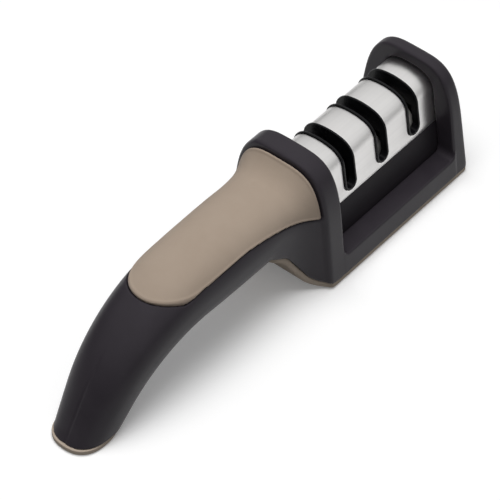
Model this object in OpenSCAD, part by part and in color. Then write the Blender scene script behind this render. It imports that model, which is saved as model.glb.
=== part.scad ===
// Hand-held knife sharpener with three pull-through slots in a steel-capped head,
// a soft-grip handle that curves down to a foot, and two free-turning sharpening rollers.
// Sizes are in millimetres. X runs along the length towards the head, Z is up.

/* [Head] */
// Length of the head along its base
head_len = 83.9; // [78:0.1:95]
// Width of the head across its base
head_w = 51.4; // [49:0.2:60]
// Height of the front end wall
front_wall_h = 56.9; // [54:0.1:62]
// Height of the rear end wall
rear_wall_h = 52.5; // [51:0.1:58]
// Front wall, from the head's front edge to the wall's inner face
front_wall_t = 7.5; // [6.5:0.1:10]
// Thickness of the rear end wall at its base
rear_wall_t = 8.4; // [7:0.1:9]
// Height of the side rails above the ground
rail_h = 11.5; // [10.5:0.1:14]
// Rounding along the top edge of the side rails
rail_edge_r = 2; // [0.5:0.1:3]
// Rounding of the end walls' outer edges
wall_edge_r = 2; // [0.5:0.1:3]
// Rounding of the end walls' inner edges
wall_inner_r = 0.9; // [0.3:0.1:1.5]
// Fillet where an end wall meets the rails
wall_root_r = 3; // [1:0.1:5]
// Lean of the front wall's sides, inwards for each millimetre of height
wall_lean = 0.095; // [0.04:0.005:0.12]
// Lean of the rear wall's sides, inwards for each millimetre of height
rear_lean = 0.13; // [0.06:0.005:0.16]
// Forward lean of the rear wall's outer face in degrees
rear_tilt = 2.5; // [0:0.5:4]
// Lean of the side rails, inwards for each millimetre of height
rail_lean = 0.09; // [0.02:0.01:0.1]
// Squareness of the end walls' shoulders
wall_shoulder = 3.9; // [2.4:0.1:4.4]
// Height of the end walls' widest curve
wall_belly_z = 20; // [15:0.5:25]

/* [Handle] */
// Width of the handle at the neck
neck_w = 32.2; // [28:0.2:36]
// Rise of the handle's top above its middle line at the neck
neck_rise = 13.5; // [12:0.1:16]
// Depth of the handle's underside below its middle line at the neck
neck_depth = 10.6; // [10:0.1:13]
// Width of the handle at its end
end_w = 21.6; // [20:0.1:25]
// Half-thickness of the handle at its end
end_half = 9.5; // [9:0.1:11.5]
// How late the handle narrows towards its end.
taper = 2; // [1.6:0.1:2.4]
// Height of the handle's middle line at the neck
axis_z = 35.6; // [34:0.1:38]
// Length of the straight part of the handle, from the head's front edge
grip_straight = 58.7; // [50:0.1:70]
// Radius of the handle's downward bend
bend_r = 55; // [50:0.5:58]
// Slope of the handle's end
drop_angle = 53; // [50:1:60]
// Length over which the handle's sides flare into the head
side_flare = 22; // [18:0.5:26]
// How late the neck widens towards the head.
flare_curve = 2.8; // [2:0.1:3]
// Distance in front of the head where the handle's own outline begins
neck_start = 33; // [30:0.5:36]
// Length over which the handle's top flares into the head
top_flare = 11.5; // [8:0.5:14]
// Squareness of the handle's upper half
top_square = 2.4; // [2:0.1:3]
// Squareness of the handle's lower half
low_square = 3; // [2:0.1:3.4]
// Thickness of the foot under the handle's end
foot_t = 3; // [2:0.1:5]
// Height of the foot's plug inside the handle
foot_plug_h = 4; // [2:0.1:5]

/* [Shell] */
// Wall of the handle at its sides
skin_side = 3.4; // [2.8:0.1:4]
// Wall of the handle under the grip
skin_top = 4.6; // [4:0.1:5.5]
// Wall of the handle's underside
skin_low = 2.6; // [2:0.1:3.5]
// Inner skin of the front wall
skin_wall = 2.6; // [2:0.1:3]
// Wall of the head's base
skin_base = 2; // [1.6:0.1:2.4]
// Thickness of the rail floor
floor_t = 2.5; // [2:0.1:3]

/* [Grip] */
// Thickness of the soft grip
grip_t = 2; // [1.2:0.1:2.4]
// Stand of the grip above the handle
grip_proud = 0.25; // [0:0.05:0.5]
// Length of the grip from the front wall's rim to its rounded end
grip_len = 77.6; // [66:0.5:82]
// Half-width of the grip's rounded end
grip_end_w = 13.9; // [12:0.1:16]
// Length of the grip's rounded end
grip_end_len = 15; // [8:0.5:16]
// Height of the grip's lower corner at the wall
grip_edge_z = 36.2; // [35:0.1:40]
// How late the grip's lower edge drops towards the head.
grip_edge_curve = 0.9; // [0.8:0.1:1.6]
// Rise of the grip's lower edge above the handle's middle line
grip_edge_rise = 7.8; // [6:0.1:9]
// Fall of the grip's lower edge towards its rounded end
grip_edge_fall = 1.2; // [0:0.1:5]

/* [Base] */
// Thickness of the soft base pad
pad_t = 2.5; // [2:0.1:3]
// Thickness of the base plate
plate_t = 1.8; // [1.4:0.1:2]
// Height of the arch under the neck
arch_h = 26.2; // [24:0.1:27]
// Radius at the foot of the arch
arch_low_r = 16; // [12:0.25:18]
// Radius at the top of the arch
arch_top_r = 13; // [10:0.2:15]
// Slope of the arch
arch_slope = 60; // [54:1:66]
// Start of the arch behind the head's front edge
arch_front = 4; // [1:0.1:5]
// Reach of the pad under the handle
pad_reach = 34; // [32:0.5:38]
// Half-width of the cover strip under the handle
strip_half_w = 6.5; // [5:0.1:7.5]
// Thickness of the cover strip
strip_t = 2.4; // [2:0.1:2.6]
// Recess of the cover strip
strip_recess = 0.4; // [0.3:0.05:0.8]

/* [Steel cover] */
// Half-width of the cover at its lower edge
cover_half_w = 13.8; // [13:0.1:15]
// Height of the cover's lower edge
cover_low_z = 25.4; // [23:0.1:26]
// Height of the cover's top
cover_top_z = 47.6; // [46:0.1:50]
// Lean of the cover's sides in degrees
cover_lean = 8.5; // [3:0.5:10]
// Radius of the cover's shoulders
shoulder_r = 7.6; // [5:0.1:9]
// Radius of the cover's crowned top
crown_r = 24; // [20:0.5:40]
// Sheet thickness
sheet_t = 0.8; // [0.5:0.05:1]

/* [Knife slots] */
// Distance between slots
slot_pitch = 19.35; // [19:0.05:21]
// First slot's middle, from the front wall's inner face
slot_first = 16.6; // [12:0.1:18]
// Slot width in the steel
slot_w = 7; // [6.6:0.1:8]
// Height of the slots' rounded lower ends
slot_low_z = 27.7; // [27:0.1:28.4]
// Wall of the liner's lip inside each slot
lip_t = 0.9; // [0.6:0.05:1]
// Stand of the lip above the steel
lip_proud = 0.6; // [0:0.05:0.8]

/* [Cartridge] */
// Thickness of the cartridge flange
flange_t = 2.4; // [2:0.1:2.6]
// Room between the cartridge's flange and the bosses of the base screws
flange_gap = 0.4; // [0.3:0.1:1.5]
// Wall of the cartridge base
base_wall = 2.4; // [2:0.1:3]
// Wall of the slot liner
liner_wall = 1.6; // [1.2:0.1:2]
// Height of the liner's lower edge
liner_low_z = 20; // [18:0.1:21]
// Height of the roof over the sharpening elements
roof_z = 38.6; // [37.5:0.1:40]
// Half-length of each element chamber
chamber_half = 5.8; // [5.6:0.05:6]
// Half-width of the axle posts
post_half_w = 4; // [3:0.1:5]

/* [Sharpening rollers] */
// Height of the roller axles
axle_z = 26; // [25:0.1:27]
// Radius of the axles
axle_r = 1.5; // [1:0.05:2]
// Length of each axle end in its seat
journal_len = 3; // [2:0.1:3.2]
// Radius of the sharpening wheels
wheel_r = 10; // [8:0.1:10.4]
// Radius where the paired wheels meet
wheel_hub_r = 4; // [3:0.1:5]
// Thickness of a wheel at its hub
wheel_t = 4.8; // [4:0.05:5]
// Slope of the grinding faces from the knife's plane
wheel_angle = 20; // [15:1:22]
// Thickness of the thrust washers
washer_t = 0.7; // [0.4:0.05:0.8]
// Radius of the thrust washers
washer_r = 3.4; // [2.5:0.1:4]

/* [Cutters] */
// Width of a cutter plate
cutter_w = 3.2; // [2.4:0.1:3.4]
// Length of a cutter plate
cutter_len = 16; // [13:0.5:16.5]
// Thickness of a cutter plate
cutter_t = 2; // [1.5:0.1:2.4]
// Height where the cutters cross
cutter_cross_z = 31; // [30:0.1:32]
// Plate length above the crossing
cutter_above = 6; // [5:0.1:6.4]
// Slope of each cutter from upright
cutter_angle = 20; // [15:1:22]
// Half-width of the cutter block
block_half_w = 4.4; // [4:0.1:5]
// Height of the cutter block's top
block_top_z = 27; // [25.5:0.1:28]

/* [Screws] */
// Radius of the screw shanks
screw_r = 1.1; // [0.8:0.05:1.15]
// Radius of the screw heads
head_r = 2; // [1.6:0.05:2.05]
// Height of the screw heads
head_h = 1.6; // [1.2:0.1:1.7]
// Radius of the driver recess
drive_r = 0.9; // [0.6:0.05:1.1]
// Depth of the driver recess
drive_depth = 0.9; // [0.5:0.05:1.1]
// Length of the base screws' shanks
base_screw_len = 7; // [5:0.1:7.4]
// Length of the cartridge screws' shanks
cart_screw_len = 12; // [8:0.5:14]
// Length of the liner screws' shanks
liner_screw_len = 21; // [17:0.5:23]
// Length of the handle screw's shank
handle_screw_len = 9; // [6:0.5:10]
// Radius of the screw bosses
boss_r = 2.8; // [2.4:0.1:3]
// Base screws from the head's ends
base_screw_x = 14; // [12:0.5:20]
// Distance of the base screws from the head's sides
base_screw_in = 4.5; // [4:0.1:5.5]
// Distance of the cartridge screws from the flange's sides
cart_screw_in = 1; // [0.8:0.1:2]
// Front cartridge screws from the head's front edge
cart_screw_front = 2.2; // [2:0.1:2.6]
// Rear cartridge screws in front of the head's rear face
cart_screw_rear = 4.6; // [4.4:0.1:4.8]
// Liner screws from the middle plane
liner_screw_y = 7; // [6:0.1:8]
// Handle screw in front of the head
handle_screw_x = 46; // [42:0.5:52]

/* [Fits] */
// Gap round pieces that are fixed together
fit = 0.1; // [0.05:0.01:0.2]
// Gap round the cartridge in the housing
cart_fit = 0.2; // [0.1:0.05:0.4]
// Depth of the grooves that hold the cartridge's ends
groove = 1; // [0.5:0.1:1.2]
// Radial clearance of the axles in their seats
run_fit = 0.05; // [0.02:0.01:0.1]
// Radial clearance round the screws
screw_fit = 0.05; // [0.02:0.01:0.1]
// Room between the foot's plug and the handle's shell
plug_room = 1.4; // [1:0.1:2]

/* [Colours] */
body_colour = "#26242a";
soft_colour = "#a5968a";
steel_colour = "#c9ccd0";
liner_colour = "#1c1c1e";
carbide_colour = "#6d7075";
diamond_colour = "#8a8c8f";
ceramic_colour = "#ece8df";
screw_colour = "#b4b7bb";

/* [Hidden] */
$fn = 48;
ring_n = 32;
eps = 0.01;
wide = 120;

half_base = head_w / 2;
base_screw_y = half_base - base_screw_in;
flange_half_w = base_screw_y - boss_r - flange_gap;
cart_screw_y = flange_half_w - cart_screw_in;
wall_half = half_base - wall_lean * wall_belly_z;
rear_half = half_base - rear_lean * wall_belly_z;
window_end = head_len - rear_wall_t;
floor_z = rail_h - floor_t;
flange_z = floor_z - flange_t;
plate_top = pad_t + plate_t;
cart_start = front_wall_t - groove + cart_fit;
cart_end = window_end + groove - cart_fit;
stations = [for (i = [0:2]) front_wall_t + slot_first + i * slot_pitch];
webs = [for (i = [0:1]) stations[i] + slot_pitch / 2];

neck_half = neck_w / 2;
end_half_w = end_w / 2;
straight_len = grip_straight - neck_start;
arc_len = bend_r * drop_angle * PI / 180;
bend_x = -grip_straight - bend_r * sin(drop_angle);
bend_z = axis_z - bend_r * (1 - cos(drop_angle));
axis_len = straight_len + arc_len + bend_z / sin(drop_angle);
axis_foot_x = bend_x - bend_z / tan(drop_angle);
foot_x = axis_foot_x + foot_t / 2 / tan(drop_angle);
foot_a = end_half / sin(drop_angle);
tip_x = foot_x - foot_a;
shift_x = -(head_len + tip_x) / 2;

arch_run = arch_h - (arch_low_r + arch_top_r) * (1 - cos(arch_slope));
arch_top_x = arch_front - (arch_low_r + arch_top_r) * sin(arch_slope) - arch_run / tan(arch_slope);

wheel_open = (wheel_r - wheel_hub_r) * tan(wheel_angle);
axle_half = chamber_half + journal_len;
seat_half = axle_half + cart_fit;
cutter_gap = fit;
screw_hole_r = screw_r + screw_fit;

cart_screws = [
    for (x = [cart_screw_front, head_len - cart_screw_rear], y = [-cart_screw_y, cart_screw_y]) [x, y]
];
base_screws_at = [
    for (x = [base_screw_x, head_len - base_screw_x], y = [-base_screw_y, base_screw_y]) [x, y]
];
liner_screws_at = [for (x = webs, y = [-liner_screw_y, liner_screw_y]) [x, y]];

function spow(v, e) = sign(v) * pow(abs(v), e);
function ease(t) = (1 - cos(180 * max(0, min(1, t)))) / 2;
function unit(v) = max(0, min(1, v));

// Closed outline across the length: half-width, rise, depth, squareness above and below, lean.
function section(b, up, down, p_up, p_down, lean) = [
    for (i = [0:ring_n - 1])
        let (
            a = 360 * i / ring_n,
            p = sin(a) >= 0 ? p_up : p_down,
            z = (sin(a) >= 0 ? up : down) * spow(sin(a), 2 / p)
        )
        [(b - lean * z) * spow(cos(a), 2 / p), z]
];

// Middle line of the handle at a distance from the neck: x, z and slope.
function axis_at(s) =
    s < straight_len
        ? [-neck_start - s, axis_z, 0]
        : s < straight_len + arc_len
            ? let (a = (s - straight_len) / bend_r * 180 / PI)
              [-grip_straight - bend_r * sin(a), axis_z - bend_r * (1 - cos(a)), a]
            : let (t = s - straight_len - arc_len)
              [bend_x - t * cos(drop_angle), bend_z - t * sin(drop_angle), drop_angle];

function narrowed(s) = pow(unit(s / axis_len), taper);
function handle_low(s) = neck_depth + (end_half - neck_depth) * narrowed(s);

// A station is x, z, slope and outline; d is the offset at the sides, top and underside.
function handle_station(s, d) =
    let (a = axis_at(s), e = narrowed(s))
    [a[0], a[1], a[2], section(
        neck_half + (end_half_w - neck_half) * e + d[0],
        neck_rise + (end_half - neck_rise) * e + d[1],
        handle_low(s) + d[2],
        top_square,
        low_square + (top_square - low_square) * e,
        0)];

function neck_q(x) = ease((x + side_flare + 3) / 13);
function flare_w(x) = pow(unit((x + side_flare) / (side_flare - wall_edge_r)), flare_curve);
function flare_half(x) = neck_half + (wall_half - wall_edge_r - neck_half) * flare_w(x);

function flare_station(x, d) =
    let (
        w = flare_w(x),
        v = pow(unit((x + top_flare) / (top_flare - wall_edge_r)), 2),
        q = neck_q(x),
        neck_top = axis_z + neck_rise,
        mid = axis_z + (wall_belly_z - axis_z) * w,
        top = neck_top + (front_wall_h - wall_edge_r - neck_top) * v,
        low = (axis_z - neck_depth) * (1 - q) - 2 * q
    )
    [x, mid, 0, section(
        flare_half(x) + d[0],
        top - mid + d[1],
        mid - low + d[2],
        top_square + (wall_shoulder - top_square) * w,
        low_square + (12 - low_square) * q,
        wall_lean * w)];

function wall_station(x, inset) =
    [x, wall_belly_z, 0, section(
        wall_half - inset,
        front_wall_h - wall_belly_z - inset,
        wall_belly_z + 2,
        wall_shoulder,
        12,
        wall_lean)];

function rear_station(x, tilt, inset) =
    [x - tan(tilt) * wall_belly_z, wall_belly_z, tilt, section(
        rear_half - inset,
        (rear_wall_h - wall_belly_z - inset) / cos(tilt),
        wall_belly_z + 2,
        wall_shoulder,
        12,
        rear_lean)];

function round_in(r, t) = r - sqrt(max(0, r * r - pow(r - t, 2)));

function ring(st) = [
    for (p = st[3]) [st[0] - sin(st[2]) * p[1], p[0], st[1] + cos(st[2]) * p[1]]
];

// Solid through a row of stations.
module loft(row) {
    for (i = [0:len(row) - 2])
        hull()
            polyhedron(concat(ring(row[i]), ring(row[i + 1])), [[for (k = [0:2 * ring_n - 1]) k]]);
}

handle_steps = 19;
cavity_steps = 9;
tail_len = axis_len + end_half / tan(drop_angle) + 1;
function handle_row(d, n = handle_steps) = [for (i = [n:-1:1]) handle_station(tail_len * i / n, d)];
flare_steps = 13;
function flare_row(d, n = flare_steps) = [
    for (i = [0:n]) flare_station(-neck_start + i * (neck_start - wall_edge_r) / n, d)
];
function front_row() = [
    for (t = [0.15, 0.45, 0.75, 1])
        wall_station(-wall_edge_r * (1 - t), round_in(wall_edge_r, wall_edge_r * t))
];
edge_steps = [1, 0.5, 0.15, 0];

module front_solid() {
    loft(concat(handle_row([0, 0, 0]), flare_row([0, 0, 0]), front_row(),
        [for (t = edge_steps)
            wall_station(front_wall_t - wall_inner_r * t, round_in(wall_inner_r, wall_inner_r * t))]));
}

module rear_solid() {
    near = [for (t = edge_steps)
        rear_station(window_end + wall_inner_r * t, 0, round_in(wall_inner_r, wall_inner_r * t))];
    far = [for (t = edge_steps)
        rear_station(head_len - wall_edge_r * t, rear_tilt, round_in(wall_edge_r, wall_edge_r * t))];
    loft(concat(reversed(near), far));
}

// Upper surface of the pad from the head to the end under the handle, at an offset.
function arch(off) = concat(
    [for (i = [0:8]) let (a = arch_slope * i / 8)
        [arch_front - (arch_low_r - off) * sin(a), arch_low_r - (arch_low_r - off) * cos(a)]],
    [for (i = [8:-1:0]) let (a = arch_slope * i / 8)
        [arch_top_x + (arch_top_r + off) * sin(a), arch_h - arch_top_r + (arch_top_r + off) * cos(a)]]
);

module across(half) {
    rotate([90, 0, 0])
        linear_extrude(2 * half, center = true)
            children();
}

module along(x0, x1) {
    translate([x0, 0, 0])
        rotate([90, 0, 90])
            linear_extrude(x1 - x0)
                children();
}

// Outline of the cartridge and its steel cover, at an offset and from a lower to an upper height.
tan_l = tan(cover_lean);
crown_z = cover_top_z - crown_r;
corner_m = cover_half_w - shoulder_r / cos(cover_lean) - (crown_z - cover_low_z) * tan_l;
corner_d = (corner_m * tan_l
    + sqrt(pow(corner_m * tan_l, 2)
        - (1 + tan_l * tan_l) * (pow(corner_m, 2) - pow(crown_r - shoulder_r, 2))))
    / (1 + tan_l * tan_l);
corner_y = corner_m - corner_d * tan_l;
corner_z = crown_z + corner_d;
corner_a = atan2(corner_d, corner_y);

function side_y(z, off) = cover_half_w - (z - cover_low_z) * tan_l + off / cos(cover_lean);
function hump_half(z0, off) = concat(
    [[side_y(z0, off), z0]],
    [for (i = [0:8]) let (a = cover_lean + (corner_a - cover_lean) * i / 8)
        [corner_y + (shoulder_r + off) * cos(a), corner_z + (shoulder_r + off) * sin(a)]],
    [for (i = [1:4]) let (a = corner_a + (90 - corner_a) * i / 4)
        [(crown_r + off) * cos(a), crown_z + (crown_r + off) * sin(a)]]
);
function mirrored(half) = concat(half, [
    for (i = [len(half) - 1:-1:0]) if (half[i][0] > eps) [-half[i][0], half[i][1]]
]);
module hump(z0, off) {
    polygon(mirrored(hump_half(z0, off)));
}
module skirt(z0, z1, off) {
    polygon([[side_y(z0, off), z0], [side_y(z1, off), z1], [-side_y(z1, off), z1], [-side_y(z0, off), z0]]);
}

// Knife slot outline seen from the side: open at the top, round at its lower end.
module notch(x, w, low) {
    translate([x, low + w / 2])
        circle(w / 2);
    translate([x - w / 2, low + w / 2])
        square([w, wide / 2]);
}

function handle_mid(x) =
    x > -grip_straight ? axis_z
        : axis_z - bend_r + sqrt(max(0, bend_r * bend_r - pow(x + grip_straight, 2)));

grip_end_x = -wall_edge_r - grip_len;
grip_steps = 16;
grip_end_p = 2.2;
function grip_edge(x) =
    let (
        t = pow(unit((x + side_flare + 2) / (side_flare + 2 - wall_edge_r)), grip_edge_curve),
        fall = grip_edge_fall * unit((-x - grip_len / 2) / (grip_len / 2))
    )
    (handle_mid(x) + grip_edge_rise - fall) * (1 - t) + grip_edge_z * t;

// Room for the grip: its side view and its plan view together.
module grip_space(gap) {
    intersection() {
        across(wide)
            polygon(concat(
                [for (i = [0:grip_steps]) let (x = -wall_edge_r + gap - i * grip_len / grip_steps)
                    [x, grip_edge(x) - gap]],
                [[grip_end_x - 5, grip_edge(grip_end_x) - gap], [grip_end_x - 5, wide],
                    [-wall_edge_r + gap, wide]]));
        linear_extrude(wide)
            polygon(concat(
                [[0, half_base], [grip_end_x + grip_end_len, half_base]],
                [for (i = [0:12]) let (a = 90 + 90 * i / 12)
                    [grip_end_x + grip_end_len + (grip_end_len + gap) * spow(cos(a), 2 / grip_end_p),
                        (grip_end_w + gap) * spow(sin(a), 2 / grip_end_p)]],
                [for (i = [11:-1:0]) let (a = 90 + 90 * i / 12)
                    [grip_end_x + grip_end_len + (grip_end_len + gap) * spow(cos(a), 2 / grip_end_p),
                        -(grip_end_w + gap) * spow(sin(a), 2 / grip_end_p)]],
                [[grip_end_x + grip_end_len, -half_base], [0, -half_base]]));
    }
}

function grip_row(d) = concat(
    [for (s = handle_row([d, d, 0])) if (s[0] > grip_end_x - 14) s],
    flare_row([d, d, 0]),
    [flare_station(-wall_edge_r, [d, d, 0])]
);

// Strip under the handle between two depths below the middle line.
strip_steps = 18;
strip_start = pad_reach - neck_start + 0.3;
function strip_line(d, sign_end) = [
    for (i = [0:strip_steps])
        let (s = strip_start + (tail_len - strip_start) * i / strip_steps,
            a = axis_at(s),
            r = handle_low(s) - d)
        [a[0] + sin(a[2]) * r, a[1] - cos(a[2]) * r]
];
function reversed(v) = [for (i = [len(v) - 1:-1:0]) v[i]];
module strip(inner, outer, half) {
    across(half)
        polygon(concat(strip_line(inner, 1), reversed(strip_line(outer, 1))));
}

module foot_outline(inset, height, shift) {
    translate([foot_x + shift, 0, 0])
        linear_extrude(height)
            polygon([for (i = [0:ring_n - 1]) let (a = 360 * i / ring_n)
                [(foot_a - inset) * spow(cos(a), 2 / top_square),
                    (end_half_w - inset) * spow(sin(a), 2 / top_square)]]);
}

module pillar(at, r, z0, z1) {
    translate([at[0], at[1], z0])
        cylinder(r = r, h = z1 - z0);
}

// Pan-head screw standing on z with its head below.
module screw(at, z, len) {
    difference() {
        union() {
            pillar(at, screw_r, z - eps, z + len);
            pillar(at, head_r, z - head_h, z);
        }
        pillar(at, drive_r, z - head_h - eps, z - head_h + drive_depth);
    }
}

module placed() {
    translate([shift_x, 0, 0])
        children();
}

handle_screw_z = axis_z - neck_depth + strip_recess;
head_pocket = head_h + fit;

module rails() {
    side = half_base - rail_lean * (rail_h - rail_edge_r);
    along(front_wall_t - eps, window_end + eps)
        polygon(concat(
            [[half_base, 0], [side, rail_h - rail_edge_r]],
            [for (i = [1:6]) let (a = 90 * i / 6)
                [side - rail_edge_r * (1 - cos(a)), rail_h - rail_edge_r * (1 - sin(a))]],
            [for (i = [6:-1:1]) let (a = 90 * i / 6)
                [-side + rail_edge_r * (1 - cos(a)), rail_h - rail_edge_r * (1 - sin(a))]],
            [[-side, rail_h - rail_edge_r], [-half_base, 0]]));
}

module cove(x, way) {
    across(half_base - rail_lean * rail_h - rail_edge_r)
        difference() {
            translate([way > 0 ? x - eps : x - wall_root_r, rail_h - eps])
                square([wall_root_r + eps, wall_root_r]);
            translate([x + way * wall_root_r, rail_h + wall_root_r])
                circle(wall_root_r);
        }
}

module below_pad() {
    across(wide)
        polygon(concat(
            [[head_len + wide, -wide], [head_len + wide, pad_t]],
            arch(pad_t),
            [[-pad_reach - fit, arch_h + pad_t], [-pad_reach - fit, -wide]]));
}

module shell_cavity() {
    difference() {
        loft(concat(handle_row([-skin_side, -skin_top, -skin_low], cavity_steps),
            flare_row([-skin_side, -skin_top, -skin_low], cavity_steps),
            [wall_station(-wall_edge_r / 2, skin_top),
                wall_station(front_wall_t - skin_wall, skin_top)]));
        pillar([-handle_screw_x, 0], boss_r, handle_screw_z + strip_t, wide);
        for (at = cart_screws)
            if (at[0] < front_wall_t)
                pillar(at, boss_r, floor_z, floor_z + cart_screw_len + 2);
    }
}

module base_cavity() {
    difference() {
        translate([-wall_edge_r, -half_base + skin_base, pad_t - 1])
            cube([head_len - skin_base + wall_edge_r, head_w - 2 * skin_base, floor_z - pad_t + 1]);
        for (at = base_screws_at)
            pillar(at, boss_r, plate_top, floor_z + eps);
    }
}

// Main moulding: end walls, side rails and the hollow handle.
module housing() {
    placed()
        color(body_colour)
            difference() {
                union() {
                    front_solid();
                    rear_solid();
                    rails();
                    cove(front_wall_t, 1);
                    cove(window_end, -1);
                }
                below_pad();
                translate([tip_x - wide, -wide, -wide])
                    cube([wide - tip_x - grip_straight, 2 * wide, wide + foot_t]);
                shell_cavity();
                base_cavity();
                difference() {
                    grip_space(fit);
                    loft(grip_row(-grip_t));
                }
                strip(strip_t + strip_recess + fit, -wide / 10, strip_half_w + fit);
                along(front_wall_t - groove, window_end + groove)
                    hump(floor_z - eps, cart_fit);
                for (at = cart_screws)
                    pillar(at, screw_hole_r, floor_z - eps, floor_z + cart_screw_len + 1);
                for (at = base_screws_at)
                    pillar(at, screw_hole_r, plate_top - eps, pad_t + base_screw_len + 0.5);
                pillar([-handle_screw_x, 0], screw_hole_r, handle_screw_z,
                    handle_screw_z + strip_t + handle_screw_len);
            }
}

// Soft grip let into the top of the handle.
module grip_pad() {
    placed()
        color(soft_colour)
            intersection() {
                loft(grip_row(grip_proud));
                difference() {
                    grip_space(0);
                    loft(grip_row(-grip_t + fit / 2));
                }
            }
}

// Cover strip under the handle.
module handle_cover() {
    placed()
        color(body_colour)
            difference() {
                strip(strip_t + strip_recess, strip_recess, strip_half_w);
                translate([tip_x - wide, -wide, -wide])
                    cube([wide - tip_x - grip_straight, 2 * wide, wide + foot_t + fit]);
                pillar([-handle_screw_x, 0], screw_hole_r, 0, wide / 2);
                pillar([-handle_screw_x, 0], head_r + fit, 0, handle_screw_z + head_pocket - fit);
            }
}

module handle_screw() {
    placed()
        color(screw_colour)
            screw([-handle_screw_x, 0], handle_screw_z + head_pocket - fit, handle_screw_len);
}

// Soft foot under the handle's end.
module foot() {
    placed()
        color(soft_colour)
            union() {
                foot_outline(0, foot_t - fit / 2, 0);
                translate([0, 0, foot_t - fit])
                    foot_outline(skin_side + foot_plug_h / tan(drop_angle) + plug_room, foot_plug_h,
                        foot_plug_h / tan(drop_angle));
            }
}

// Height of the arch over the ground, and the handle's half-width there.
arch_x1 = arch_front - arch_low_r * sin(arch_slope);
arch_z1 = arch_low_r * (1 - cos(arch_slope));
arch_x2 = arch_top_x + arch_top_r * sin(arch_slope);
function arch_z(x) =
    x > arch_front ? 0
        : x > arch_x1 ? arch_low_r - sqrt(pow(arch_low_r, 2) - pow(arch_front - x, 2))
            : x > arch_x2 ? arch_z1 + (arch_x1 - x) * tan(arch_slope)
                : x > arch_top_x ? arch_h - arch_top_r + sqrt(pow(arch_top_r, 2) - pow(x - arch_top_x, 2))
                    : arch_h;
pad_steps = 14;
function pad_half(x) =
    let (
        w = flare_w(x),
        q = neck_q(x),
        mid = axis_z + (wall_belly_z - axis_z) * w,
        low = (axis_z - neck_depth) * (1 - q) - 2 * q,
        p = low_square + (12 - low_square) * q,
        t = min(0.98, (mid - arch_z(x) - pad_t / 2) / (mid - low))
    )
    (flare_half(x) + wall_lean * w * (mid - arch_z(x))) * pow(1 - pow(t, p), 1 / p) - fit;

// Soft pad under the head that climbs the arch to the handle.
module base_pad() {
    placed()
        color(soft_colour)
            difference() {
                intersection() {
                    across(wide)
                        polygon(concat(
                            [[head_len, 0], [head_len, pad_t]],
                            arch(pad_t),
                            [[-pad_reach, arch_h + pad_t], [-pad_reach, arch_h]],
                            reversed(arch(0))));
                    linear_extrude(wide)
                        polygon(concat(
                            [[head_len, half_base - wall_edge_r], [head_len - wall_edge_r, half_base - fit],
                                [0, half_base - fit]],
                            [for (i = [0:pad_steps])
                                let (x = -wall_edge_r - (pad_reach - wall_edge_r) * i / pad_steps)
                                [x, pad_half(x)]],
                            [for (i = [pad_steps:-1:0])
                                let (x = -wall_edge_r - (pad_reach - wall_edge_r) * i / pad_steps)
                                [x, -pad_half(x)]],
                            [[0, -half_base + fit], [head_len - wall_edge_r, -half_base + fit],
                                [head_len, -half_base + wall_edge_r]]));
                }
                for (at = base_screws_at)
                    pillar(at, head_r + 3 * fit, -eps, pad_t + eps);
            }
}

// Stiff plate that closes the head from below.
module base_plate() {
    half = half_base - skin_base - cart_fit;
    start = arch_front + 0.5;
    placed()
        color(liner_colour)
            difference() {
                translate([start, -half, pad_t])
                    cube([head_len - skin_base - cart_fit - start, 2 * half, plate_t]);
                for (at = base_screws_at)
                    pillar(at, screw_hole_r, pad_t - eps, plate_top + eps);
            }
}

module base_screws() {
    placed()
        color(screw_colour)
            for (at = base_screws_at)
                screw(at, pad_t, base_screw_len);
}

// Lower half of the cartridge: flange, skirt, axle posts and cutter block.
module cartridge_base() {
    placed()
        color(liner_colour)
            difference() {
                union() {
                    translate([cart_screw_front - head_r - 1, -flange_half_w, flange_z])
                        cube([head_len - cart_screw_rear + head_r - cart_screw_front + head_r + 1,
                            2 * flange_half_w, flange_t]);
                    difference() {
                        along(cart_start, cart_end)
                            skirt(floor_z - eps, cover_low_z, 0);
                        along(cart_start + base_wall, cart_end - base_wall)
                            skirt(floor_z, liner_low_z, -base_wall);
                        along(cart_start + sheet_t, cart_end - sheet_t)
                            skirt(liner_low_z, cover_low_z + 1, -sheet_t);
                    }
                    for (i = [1, 2], way = [-1, 1])
                        translate([stations[i] + way * (chamber_half + seat_half) / 2, 0,
                                (floor_z + axle_z) / 2])
                            cube([seat_half - chamber_half, 2 * post_half_w, axle_z - floor_z + eps],
                                center = true);
                    for (at = liner_screws_at)
                        pillar(at, boss_r, floor_z - eps, liner_low_z);
                    translate([stations[0] - chamber_half + 0.5, -block_half_w, floor_z - eps])
                        cube([2 * chamber_half - 1, 2 * block_half_w, block_top_z - floor_z]);
                }
                for (i = [1, 2])
                    translate([stations[i] - seat_half - eps, 0, axle_z])
                        rotate([0, 90, 0])
                            cylinder(r = axle_r + run_fit, h = 2 * seat_half + 2 * eps);
                for (way = [-1, 1])
                    cutter_solid(way, fit);
                for (at = cart_screws)
                    pillar(at, screw_hole_r, flange_z - eps, floor_z + eps);
                for (at = liner_screws_at)
                    pillar(at, screw_hole_r, flange_z - eps, liner_low_z + eps);
            }
}

module cartridge_screws() {
    placed()
        color(screw_colour)
            for (at = cart_screws)
                screw(at, flange_z, cart_screw_len);
}

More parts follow.
